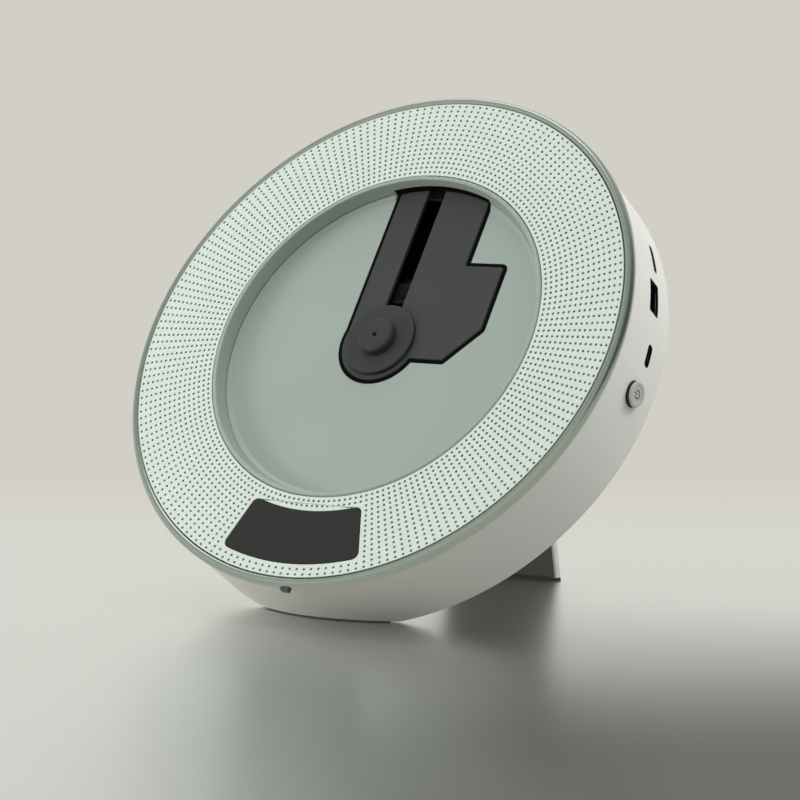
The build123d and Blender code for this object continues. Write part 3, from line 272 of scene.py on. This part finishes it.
def meshFrom(bm, name, matrix=None):
    bmesh.ops.transform(bm, matrix=(matrix or faceMatrix) @ toMetres, verts=bm.verts[:])
    mesh = bpy.data.meshes.new(name)
    bm.to_mesh(mesh)
    bm.free()
    return mesh


def turnProfile(points, steps):
    bm = bmesh.new()
    corners = [bm.verts.new((point[0], 0, point[1])) for point in points]
    closed = all(point[0] > 1e-6 for point in points)
    count = len(corners)
    for i in range(count if closed else count - 1):
        bm.edges.new((corners[i], corners[(i + 1) % count]))
    for corner, point in zip(corners, points):
        if len(point) > 2:
            bmesh.ops.bevel(bm, geom=[corner], offset=point[2], offset_type="OFFSET", segments=5,
                            profile=0.5, affect="VERTICES", material=-1)
    bmesh.ops.spin(bm, geom=bm.verts[:] + bm.edges[:], cent=(0, 0, 0), axis=(0, 0, 1),
                   angle=math.tau, steps=steps, use_merge=True)
    bmesh.ops.remove_doubles(bm, verts=bm.verts[:], dist=1e-5)
    bmesh.ops.recalc_face_normals(bm, faces=bm.faces[:])
    return bm


def extrudeBy(bm, faces, height):
    grown = bmesh.ops.extrude_face_region(bm, geom=faces, use_keep_orig=True)
    moved = [part for part in grown["geom"] if isinstance(part, bmesh.types.BMVert)]
    bmesh.ops.translate(bm, vec=(0, 0, height), verts=moved)


def copyOfNode(name, mergeDistance=1e-6):
    bm = bmesh.new()
    bm.from_mesh(nodes[name].data)
    bmesh.ops.remove_doubles(bm, verts=bm.verts[:], dist=mergeDistance)
    return bm


# The perforated ring: a sheet of drilled cells, plain round the window.
grille = dict(inner=70.9, outer=104.0, firstRow=72.46, rowStep=2.1705, rows=15, pitch=1.8, hole=0.57,
              thickness=1.0, plainRows=(2, 12), plainHalf=19.1, merge=0.002)
window = dict(inner=76.55, outer=98.75, half=18.45, corner=2.8)


def onRing(radius, degrees, height=0.0):
    turn = math.radians(degrees - 90)
    return Vector((radius * math.cos(turn), radius * math.sin(turn), height))


def rowCentre(row):
    return grille["firstRow"] + row * grille["rowStep"]


def plainBorder():
    return (math.ceil(grille["plainHalf"] / grille["pitch"]) - 0.5) * grille["pitch"]


def drilledCell(row, centreAngle):
    half = grille["pitch"] / 2
    low = rowCentre(row) - grille["rowStep"] / 2
    high = rowCentre(row) + grille["rowStep"] / 2
    third = (high - low) / 3
    outline = [(low, -half), (low, 0), (low, half), (low + third, half), (high - third, half),
               (high, half), (high, 0), (high, -half), (high - third, -half), (low + third, -half)]
    middle = onRing(rowCentre(row), centreAngle)
    rim = [onRing(radius, centreAngle + angle) for radius, angle in outline]
    hole = [middle + (corner - middle).normalized() * grille["hole"] for corner in rim]
    first = len(sheetPoints)
    count = len(rim)
    sheetPoints.extend(rim + hole)
    for i in range(count):
        j = (i + 1) % count
        sheetFaces.append((first + i, first + j, first + count + j, first + count + i))


def drillRow(row):
    plainFrom, plainTo = grille["plainRows"]
    count = round(360 / grille["pitch"])
    start = 0.0
    if plainFrom <= row <= plainTo:
        start = plainBorder() + grille["pitch"] / 2
        count = round((360 - 2 * start) / grille["pitch"]) + 1
    for i in range(count):
        drilledCell(row, start + i * grille["pitch"])


def edgeLoop(bm, points):
    corners = [bm.verts.new(point) for point in points]
    return [bm.edges.new((corners[i - 1], corners[i])) for i in range(len(corners))]


def roundedSector(inner, outer, half, corner, steps=6, arcSteps=24):
    points = []
    for radius, side, turnIn in ((outer, 1, -1), (outer, -1, -1), (inner, -1, 1), (inner, 1, 1)):
        middleRadius = radius + turnIn * corner
        middleAngle = side * (half - math.degrees(corner / middleRadius))
        middle = onRing(middleRadius, middleAngle)
        away = onRing(1, middleAngle) * -turnIn
        aside = onRing(1, middleAngle + 90 * side)
        arc = [middle + corner * (math.sin(t) * away + math.cos(t) * aside)
               for t in [math.pi / 2 * i / steps for i in range(steps + 1)]]
        goesIn = (radius == outer) == (side > 0)
        points += arc if goesIn else arc[::-1]
        if side > 0 and radius == outer:
            points += [onRing(outer, middleAngle * (1 - 2 * i / arcSteps)) for i in range(1, arcSteps)]
        if side < 0 and radius == inner:
            points += [onRing(inner, middleAngle * (2 * i / arcSteps - 1)) for i in range(1, arcSteps)]
    return points


def plainField(bm):
    first, last = grille["plainRows"]
    third = grille["rowStep"] / 3
    step = grille["pitch"] / 2
    border = plainBorder()
    side = []
    for row in range(first, last + 1):
        low = rowCentre(row) - grille["rowStep"] / 2
        side += [(low + third * i, border) for i in range(3)]
    side.append((low + third * 3, border))
    arcCount = round(border / step)
    bottom = [(side[0][0], step * i) for i in range(-arcCount + 1, arcCount)]
    top = [(side[-1][0], step * i) for i in range(arcCount - 1, -arcCount, -1)]
    outline = bottom + side + top + [(radius, -angle) for radius, angle in reversed(side)]
    edges = edgeLoop(bm, [onRing(radius, angle) for radius, angle in outline])
    edges += edgeLoop(bm, roundedSector(window["inner"], window["outer"], window["half"], window["corner"]))
    bmesh.ops.triangle_fill(bm, use_beauty=True, use_dissolve=False, edges=edges)


def plainStrip(inner, outer):
    steps = round(2 * 360 / grille["pitch"])
    first = len(sheetPoints)
    for i in range(steps):
        angle = i * grille["pitch"] / 2
        sheetPoints.extend((onRing(inner, angle), onRing(outer, angle)))
    for i in range(steps):
        here = first + 2 * i
        there = first + 2 * ((i + 1) % steps)
        sheetFaces.append((here, there, there + 1, here + 1))


sheetPoints = []
sheetFaces = []
for row in range(grille["rows"]):
    drillRow(row)
plainStrip(grille["inner"], rowCentre(0) - grille["rowStep"] / 2)
plainStrip(rowCentre(grille["rows"] - 1) + grille["rowStep"] / 2, grille["outer"])
drilled = bpy.data.meshes.new("drilled")
drilled.from_pydata(sheetPoints, [], sheetFaces)
sheet = bmesh.new()
sheet.from_mesh(drilled)
bpy.data.meshes.remove(drilled)
plainField(sheet)
bmesh.ops.remove_doubles(sheet, verts=sheet.verts[:], dist=grille["merge"])
extrudeBy(sheet, sheet.faces[:], -grille["thickness"])
bmesh.ops.recalc_face_normals(sheet, faces=sheet.faces[:])
openEdges = sum(1 for edge in sheet.edges if not edge.is_manifold)
print("perforated ring:", len(sheet.faces), "faces, open edges", openEdges)
finishPiece(meshFrom(sheet, "perforatedRing"), "perforatedRing", "player", grilleEnamel,
            "grille_white", "speaker_grille")


# The round side wall, and the openings in it.
wall = dict(radius=106.45, recess=1.2, clear=0.03, liningThick=0.45, liningGap=0.3)
ports = {
    "usb_a": dict(angle=18.2, depth=21.7, size=(14.4, 7.1), corner=0.8),
    "usb_c": dict(angle=5.1, depth=23.4, size=(9.4, 3.4), corner=1.65),
    "card": dict(angle=28.9, depth=24.25, size=(12.4, 1.7), corner=0.8),
}
cardLip = dict(size=(13.1, 2.5), corner=1.2, thick=0.5, rise=0.06, sink=0.01)


def wallMatrix(angle, depth):
    turn = math.radians(angle)
    outward = faceAcross * math.cos(turn) + faceUp * math.sin(turn)
    along = faceUp * math.cos(turn) - faceAcross * math.sin(turn)
    place = faceCentre - faceOut * depth * mm
    return Matrix((
        (along.x, faceOut.x, outward.x, place.x),
        (along.y, faceOut.y, outward.y, place.y),
        (along.z, faceOut.z, outward.z, place.z),
        (0, 0, 0, 1),
    ))


def prism(bm, outline, low, high):
    base = bm.faces.new([bm.verts.new((x, y, low)) for x, y in outline])
    extrudeBy(bm, [base], high - low)
    bmesh.ops.recalc_face_normals(bm, faces=bm.faces[:])


def arcPoints(radius, fromDegrees, toDegrees, steps):
    turns = [math.radians(fromDegrees + (toDegrees - fromDegrees) * i / steps) for i in range(steps + 1)]
    return [(radius * math.cos(turn), radius * math.sin(turn)) for turn in turns]


def roundedRect(width, height, corner, steps=6):
    points = []
    for i, (sideX, sideY) in enumerate(((1, 1), (-1, 1), (-1, -1), (1, -1))):
        centreX = sideX * (width / 2 - corner)
        centreY = sideY * (height / 2 - corner)
        points += [(centreX + x, centreY + y) for x, y in arcPoints(corner, 90 * i, 90 * i + 90, steps)]
    return points


def bentSides(points, parts=12, longSide=2):
    bent = []
    for i, (x, y) in enumerate(points):
        nextX, nextY = points[(i + 1) % len(points)]
        steps = parts if abs(nextX - x) > longSide else 1
        bent += [(x + (nextX - x) * j / steps, y + (nextY - y) * j / steps) for j in range(steps)]
    return bent


def lining(size, corner, thick, rise, sink, leastCorner=0.1):
    width, height = size
    outer = bentSides(roundedRect(width, height, corner))
    inner = bentSides(roundedRect(width - 2 * thick, height - 2 * thick, max(leastCorner, corner - thick)))
    bm = bmesh.new()
    edges = edgeLoop(bm, [(x, y, rise) for x, y in outer]) + edgeLoop(bm, [(x, y, rise) for x, y in inner])
    brim = bmesh.ops.bridge_loops(bm, edges=edges)["faces"]
    extrudeBy(bm, brim, -rise - sink)
    for vertex in bm.verts:
        vertex.co.z += math.sqrt(wall["radius"] ** 2 - vertex.co.x ** 2)
    bmesh.ops.recalc_face_normals(bm, faces=bm.faces[:])
    return bm


def lineWall(name, shape, port):
    mesh = meshFrom(shape, name, wallMatrix(port["angle"], port["depth"]))
    finishPiece(mesh, name, "player", insulator, "gasket_black")


for name, port in ports.items():
    size = [length - 2 * wall["clear"] for length in port["size"]]
    shape = lining(size, port["corner"] - wall["clear"], wall["liningThick"], -wall["clear"],
                   wall["recess"] - wall["liningGap"])
    lineWall(name + "_lining", shape, port)
lineWall("card_lip", lining(**cardLip), ports["card"])
print("openings lined:", len(ports))

# The bezel, a rounded tube.
bezel = dict(inner=104.3, crown=105.75, outer=107.5, proud=0.3, depth=3.8, innerDrop=1.15, outerDrop=2.5,
             innerSteps=8, outerSteps=12, edgeDepth=3.0, bevelDepth=3.6, bevel=0.3, backInset=0.9,
             turns=360, smoothAngle=50)
tube = [(bezel["inner"], -bezel["depth"])]
for i in range(bezel["innerSteps"] + 1):
    turn = math.pi / 2 * i / bezel["innerSteps"]
    tube.append((bezel["crown"] - (bezel["crown"] - bezel["inner"]) * math.cos(turn),
                 bezel["proud"] - bezel["innerDrop"] * (1 - math.sin(turn))))
for i in range(1, bezel["outerSteps"] + 1):
    turn = math.pi / 2 * i / bezel["outerSteps"]
    tube.append((bezel["crown"] + (bezel["outer"] - bezel["crown"]) * math.sin(turn),
                 bezel["proud"] - bezel["outerDrop"] * (1 - math.cos(turn))))
tube += [(bezel["outer"], -bezel["edgeDepth"]), (bezel["outer"] - bezel["bevel"], -bezel["bevelDepth"]),
         (bezel["outer"] - bezel["backInset"], -bezel["depth"])]
finishPiece(meshFrom(turnProfile(tube, bezel["turns"]), "bezelRing"), "bezelRing", "player", bezelGloss,
            "bezel_grey", "outer_bezel", smoothAngle=bezel["smoothAngle"])

# The small nub at the bottom of the bezel.
nub = dict(angle=-88.6, width=3.6, height=1.2, heights=3, length=2.0, corner=0.3, steps=3)
nubShape = bmesh.new()
nubTurn = math.radians(nub["angle"])
nubRadius = bezel["outer"] - nub["height"] / 2
nubX = nubRadius * math.cos(nubTurn)
nubY = nubRadius * math.sin(nubTurn)
nubCorners = roundedRect(nub["width"], nub["heights"] * nub["height"], nub["corner"], nub["steps"])
nubOutline = [(nubX + x, nubY + y) for x, y in nubCorners]
prism(nubShape, nubOutline, -bezel["depth"], -bezel["depth"] + nub["length"])
finishPiece(meshFrom(nubShape, "bezelNub"), "bezelNub", "player", nubGrey, "bezel_grey")
print("bezel and nub made")

# The button's dished cap, and the side below it, whose dark grey is painted shade.
button = dict(angle=-4.1, depth=21.6, proud=2.1, radius=4.8, dish=0.22, dishRadius=3.3, dishStep=0.2,
              dishEdge=0.1, edge=0.5, cap=0.75, capGap=0.01, sideInset=0.02, seat=2.63, flange=1.0,
              flangeRadius=5.8, stem=1.4, stemRadius=1.5, turns=96)
buttonTop = wall["radius"] + button["proud"]
buttonSplit = buttonTop - button["cap"]
buttonSeat = wall["radius"] - button["seat"]
buttonBack = buttonSeat - button["flange"]
buttonEnd = buttonBack - button["stem"]
dishFloor = buttonTop - button["dish"]
buttonPlace = wallMatrix(button["angle"], button["depth"])
capProfile = [(0, dishFloor), (button["dishRadius"], dishFloor, button["dishEdge"]),
              (button["dishRadius"] + button["dishStep"], buttonTop, button["dishEdge"]),
              (button["radius"], buttonTop, button["edge"]), (button["radius"], buttonSplit),
              (0, buttonSplit)]
cap = meshFrom(turnProfile(capProfile, button["turns"]), "buttonCap", buttonPlace)
finishPiece(cap, "buttonCap", "button_unit", buttonSatin, "button_grey", "power_button")
skirtTop = buttonSplit - button["capGap"]
skirtRadius = button["radius"] - button["sideInset"]
skirtProfile = [(0, skirtTop), (skirtRadius, skirtTop), (skirtRadius, buttonSeat),
                (button["flangeRadius"], buttonSeat), (button["flangeRadius"], buttonBack),
                (button["stemRadius"], buttonBack), (button["stemRadius"], buttonEnd), (0, buttonEnd)]
skirt = meshFrom(turnProfile(skirtProfile, button["turns"]), "buttonSide", buttonPlace)
finishPiece(skirt, "buttonSide", "button_unit", buttonShadeSide, "button_grey")

# The open ring and bar in the button's dish.
mark = dict(radius=1.5, line=0.42, opening=34.0, height=0.05, sink=0.01, barFrom=0.3, barTo=2.0, steps=40)
symbol = bmesh.new()
markLow = dishFloor - mark["sink"]
markHigh = markLow + mark["height"]
halfLine = mark["line"] / 2
ringOuter, ringInner = [
    arcPoints(mark["radius"] + offset, 90 + mark["opening"], 450 - mark["opening"], mark["steps"])
    for offset in (halfLine, -halfLine)]
prism(symbol, ringOuter + ringInner[::-1], markLow, markHigh)
prism(symbol, [(-halfLine, mark["barFrom"]), (halfLine, mark["barFrom"]), (halfLine, mark["barTo"]),
               (-halfLine, mark["barTo"])], markLow, markHigh)
symbolMesh = meshFrom(symbol, "powerSymbol", buttonPlace)
finishPiece(symbolMesh, "powerSymbol", "button_unit", buttonMark, "gasket_black")
print("button and its mark made")

# The stand's lining runs down to its rubber foot. The copied mesh is in metres already.
legLining = dict(tilt=11.6, lowBand=1.5, longer=4.6, proud=0.05)
legTilt = math.radians(legLining["tilt"])
legUp = Vector((0, -math.sin(legTilt), math.cos(legTilt)))
legFront = Vector((0, -math.cos(legTilt), -math.sin(legTilt)))
padding = copyOfNode("kickstand_liner")
lowest = min(vertex.co.dot(legUp) for vertex in padding.verts)
for vertex in padding.verts:
    if vertex.co.dot(legUp) < lowest + legLining["lowBand"] * mm:
        vertex.co -= legUp * legLining["longer"] * mm
    vertex.co += legFront * legLining["proud"] * mm
paddingMesh = meshFrom(padding, "standLining", Matrix.Scale(1 / mm, 4))
finishPiece(paddingMesh, "standLining", "stand_unit", linerPad, "liner_dark", "kickstand_liner")
print("stand lining made")

# The small pip in the middle of the disc seat; its near-black colour is painted shade of the centre dimple.
seatPip = dict(lowRadius=0.95, highRadius=0.8, height=0.3, middle=-1.19, segments=32)
pip = bmesh.new()
bmesh.ops.create_cone(pip, cap_ends=True, segments=seatPip["segments"], radius1=seatPip["lowRadius"],
                      radius2=seatPip["highRadius"], depth=seatPip["height"])
bmesh.ops.translate(pip, vec=(0, 0, seatPip["middle"]), verts=pip.verts[:])
finishPiece(meshFrom(pip, "seatPip"), "seatPip", "turntable_unit", gasketFoamAndPaintedShade, "gasket_black")

# The dark end of the laser slot, between the well's floor and its wall.
slotEnd = dict(half=3.9, near=64.5, far=68.1, low=-7.35, high=-7.0)
slotShape = bmesh.new()
prism(slotShape, [(-slotEnd["half"], slotEnd["near"]), (slotEnd["half"], slotEnd["near"]),
                  (slotEnd["half"], slotEnd["far"]), (-slotEnd["half"], slotEnd["far"])],
      slotEnd["low"], slotEnd["high"])
finishPiece(meshFrom(slotShape, "slotEnd"), "slotEnd", "player", gasketFoamAndPaintedShade, "gasket_black")
print("seat pip and slot end made")


# Which finish each piece of the model takes. The pieces stood for above have their own.
finishes = {
    "rear_housing": shellPaint, "disc_well": wellEnamel, "pickup_cover": coverBlack,
    "turntable": turntableBlack, "display_window": smokedAcrylic, "acoustic_cloth": speakerCloth,
    "baffle_ring": baffleGrey, "base_foot": rubberGrey, "kickstand": standPlastic,
    "kickstand_pad": rubberDark, "kickstand_pin": brightSteel,
    "usb_a_socket": darkSteel, "usb_c_socket": darkSteel, "card_socket": darkSteel,
    "usb_a_tongue": insulator, "usb_c_tongue": insulator, "battery_pack": batterySleeve,
    "main_board": boardMask, "display_board": boardMask, "display_digits": smokedAcrylic,
    "well_screws": screwSteel, "cover_screws": screwSteel, "rear_screws": screwSteel,
    "damper_screws": screwSteel, "board_screws": screwSteel, "spindle_shaft": brightSteel,
    "spindle_bearing": sinteredBronze, "spindle_motor": motorCan, "mech_chassis": darkPlastic,
    "guide_rods": darkSteel, "chassis_dampers": rubberDark, "optical_sled": darkPlastic,
    "lens_magnets": darkSteel, "cover_gasket": gasketFoamAndPaintedShade, "lens_holder": darkPlastic,
    "objective_lens": lensGlass, "drive_gear": acetal, "gear_stud": brightSteel, "sled_motor": motorCan,
    "sled_motor_shaft": brightSteel, "motor_pinion": sinteredBronze, "speaker_frames": insulator,
    "speaker_cones": coneCoat, "switch_plunger": insulator, "power_switch": insulator,
}
for name, material in finishes.items():
    slots = nodes[name].data.materials
    slots.clear()
    slots.append(material)
print("finishes given to", len(finishes), "pieces; left:", sorted(set(nodes) - set(finishes)))


# The floor: a soft sheen with a painted shadow, a darker patch towards the right and near side, fading into
# the backdrop.
backdrop = linear(210, 207, 198)
view = dict(azimuth=0.6093, elevation=0.0982, focal=3240.0, distance=1.224, centreX=373.11, centreY=332.52,
            pixels=800, sensor=36.0, nearest=0.05)
paintedShadow = dict(right=(-0.12, 0.08), near=(-0.02, 0.3), reach=(0.4, 0.75), colour=(0.24, 0.235, 0.235, 1))
ground = dict(reach=6.0, fade=(0.12, 0.42), sheen=0.3, facing=0.5)
toRight = (math.cos(view["azimuth"]), math.sin(view["azimuth"]), 0)
toNear = (math.sin(view["azimuth"]), -math.cos(view["azimuth"]), 0)
toFar = (-math.sin(view["azimuth"]), math.cos(view["azimuth"]), 0)
floorPaint = newMaterial("floorPaint", linear(96, 94, 86), 0.9, specular=0.0)
floorPoint = objectPoint(floorPaint)
# Painted shadow: the sheen's colour is darkened in a patch towards the right and near side, fading with
# distance.
inPaintedShadow = joinValues(
    floorPaint, "MULTIPLY",
    smoothShare(floorPaint, alongDirection(floorPaint, floorPoint, toRight), *paintedShadow["right"]),
    smoothShare(floorPaint, alongDirection(floorPaint, floorPoint, toNear), *paintedShadow["near"]))
fromMiddle = addNode(floorPaint, "ShaderNodeVectorMath")
fromMiddle.operation = "LENGTH"
link(floorPaint, floorPoint, fromMiddle.inputs[0])
paintedShadowFade = smoothShare(floorPaint, fromMiddle.outputs["Value"], *paintedShadow["reach"], 1.0, 0.0)
paintedShadowShare = joinValues(floorPaint, "MULTIPLY", inPaintedShadow, paintedShadowFade)
paintedShadowColour = colourRamp(floorPaint, paintedShadowShare, [(0.0, (1, 1, 1, 1)), (1.0, paintedShadow["colour"])])
sheen = addNode(floorPaint, "ShaderNodeBsdfGlossy", {"Roughness": ground["sheen"]})
link(floorPaint, paintedShadowColour, sheen.inputs["Color"])
slant = addNode(floorPaint, "ShaderNodeLayerWeight", {"Blend": ground["facing"]})
polish = mixShaders(floorPaint, slant.outputs["Facing"], mainShader(floorPaint).outputs[0], sheen.outputs[0])
glow = addNode(floorPaint, "ShaderNodeEmission", {"Color": backdrop, "Strength": 1.0})
fade = smoothShare(floorPaint, alongDirection(floorPaint, floorPoint, toFar), *ground["fade"])
seenFloor = mixShaders(floorPaint, fade, polish, glow.outputs[0])

# Rays that don't come from the camera meet a plain floor.
bounce = addNode(floorPaint, "ShaderNodeBsdfDiffuse", {"Color": linear(146, 146, 142)})
mirrorGlow = addNode(floorPaint, "ShaderNodeEmission", {"Color": linear(214, 212, 204), "Strength": 1.0})
floorRays = addNode(floorPaint, "ShaderNodeLightPath").outputs
unseenFloor = mixShaders(floorPaint, floorRays["Is Glossy Ray"], bounce.outputs[0], mirrorGlow.outputs[0])
wholeFloor = mixShaders(floorPaint, floorRays["Is Camera Ray"], unseenFloor, seenFloor)
link(floorPaint, wholeFloor, floorPaint.node_tree.nodes["Material Output"].inputs["Surface"])
floorShape = bmesh.new()
bmesh.ops.create_grid(floorShape, x_segments=1, y_segments=1, size=ground["reach"])
floorMesh = bpy.data.meshes.new("floor")
floorShape.to_mesh(floorMesh)
floorShape.free()
floor = bpy.data.objects.new("floor", floorMesh)
floorMesh.materials.append(floorPaint)
bpy.context.scene.collection.objects.link(floor)
print("floor made")

# The sky: one for lighting, one with a dark side for gloss, and the backdrop for the camera.
sky = dict(
    lighting=[(0.0, linear(150, 151, 149)), (0.35, linear(194, 196, 195)), (0.95, linear(240, 243, 244))],
    mirrored=[(0.0, linear(247, 243, 231)), (0.3, linear(222, 222, 216)), (0.95, linear(160, 164, 162))],
    flag=[(0.0, linear(18, 19, 18)), (0.5, linear(34, 35, 34))],
    flagDirection=(0.85, 0.46, 0.25), flagFade=(0.62, 0.9),
)
scene = bpy.context.scene
world = bpy.data.worlds.new("room")
scene.world = world
world.use_nodes = True
skyPoint = addNode(world, "ShaderNodeTexCoord").outputs["Generated"]
skySplit = addNode(world, "ShaderNodeSeparateXYZ")
link(world, skyPoint, skySplit.inputs[0])


def skyShader(stops):
    background = addNode(world, "ShaderNodeBackground", {"Strength": 1.0})
    link(world, colourRamp(world, skySplit.outputs["Z"], stops), background.inputs["Color"])
    return background.outputs[0]


skyRays = addNode(world, "ShaderNodeLightPath").outputs
flagShare = smoothShare(world, alongDirection(world, skyPoint, sky["flagDirection"]), *sky["flagFade"])
glossySky = mixShaders(world, flagShare, skyShader(sky["mirrored"]), skyShader(sky["flag"]))
unseenSky = mixShaders(world, skyRays["Is Glossy Ray"], skyShader(sky["lighting"]), glossySky)
seenSky = skyShader([(0.0, backdrop), (1.0, backdrop)])
wholeSky = mixShaders(world, skyRays["Is Camera Ray"], unseenSky, seenSky)
link(world, wholeSky, world.node_tree.nodes["World Output"].inputs["Surface"])
print("sky made")


def softbox(name, place, size, power, target=(0, 0, 0.09), colour=(1, 1, 1), seenInGloss=False):
    lamp = bpy.data.lights.new(name, "AREA")
    lamp.shape = "RECTANGLE"
    lamp.size, lamp.size_y = size
    lamp.energy = power
    lamp.color = colour
    holder = bpy.data.objects.new(name, lamp)
    aim = (Vector(target) - Vector(place)).to_track_quat("-Z", "Y")
    holder.matrix_world = Matrix.Translation(place) @ aim.to_matrix().to_4x4()
    holder.visible_glossy = seenInGloss
    scene.collection.objects.link(holder)


softbox("keyLight", place=(-0.25, -1.1, 1.25), size=(0.9, 0.9), power=7.8)
softbox("rearLight", place=(1.0, 0.7, 1.1), size=(0.7, 0.7), power=9.0, colour=(1.0, 0.99, 0.97))
softbox("topLight", place=(-0.5, 0.3, 1.5), size=(0.8, 0.8), power=4.0, seenInGloss=True)
softbox("sideFill", place=(-0.9, -0.5, 0.12), size=(0.4, 0.2), power=4.8, target=(-0.04, 0, 0.03))
print("lights made:", len(bpy.data.lights))

# The camera.
forward = Vector((-math.sin(view["azimuth"]) * math.cos(view["elevation"]),
                  math.cos(view["azimuth"]) * math.cos(view["elevation"]), -math.sin(view["elevation"])))
across = Vector((math.cos(view["azimuth"]), math.sin(view["azimuth"]), 0))
upward = across.cross(forward)
half = view["pixels"] / 2
offset = Vector(((view["centreX"] - half) / view["focal"], -(view["centreY"] - half) / view["focal"], 1.0))
offset *= view["distance"]
eye = faceCentre - (offset[0] * across + offset[1] * upward + offset[2] * forward)
camera = bpy.data.cameras.new("camera")
camera.sensor_width = view["sensor"]
camera.lens = view["focal"] / view["pixels"] * view["sensor"]
camera.clip_start = view["nearest"]
cameraHolder = bpy.data.objects.new("camera", camera)
cameraHolder.matrix_world = Matrix((
    (across.x, upward.x, -forward.x, eye.x),
    (across.y, upward.y, -forward.y, eye.y),
    (across.z, upward.z, -forward.z, eye.z),
    (0, 0, 0, 1)))
scene.collection.objects.link(cameraHolder)
scene.camera = cameraHolder
scene.render.resolution_x = view["pixels"]
scene.render.resolution_y = view["pixels"]
scene.view_settings.view_transform = "Standard"
print("camera at", [round(value, 4) for value in eye])
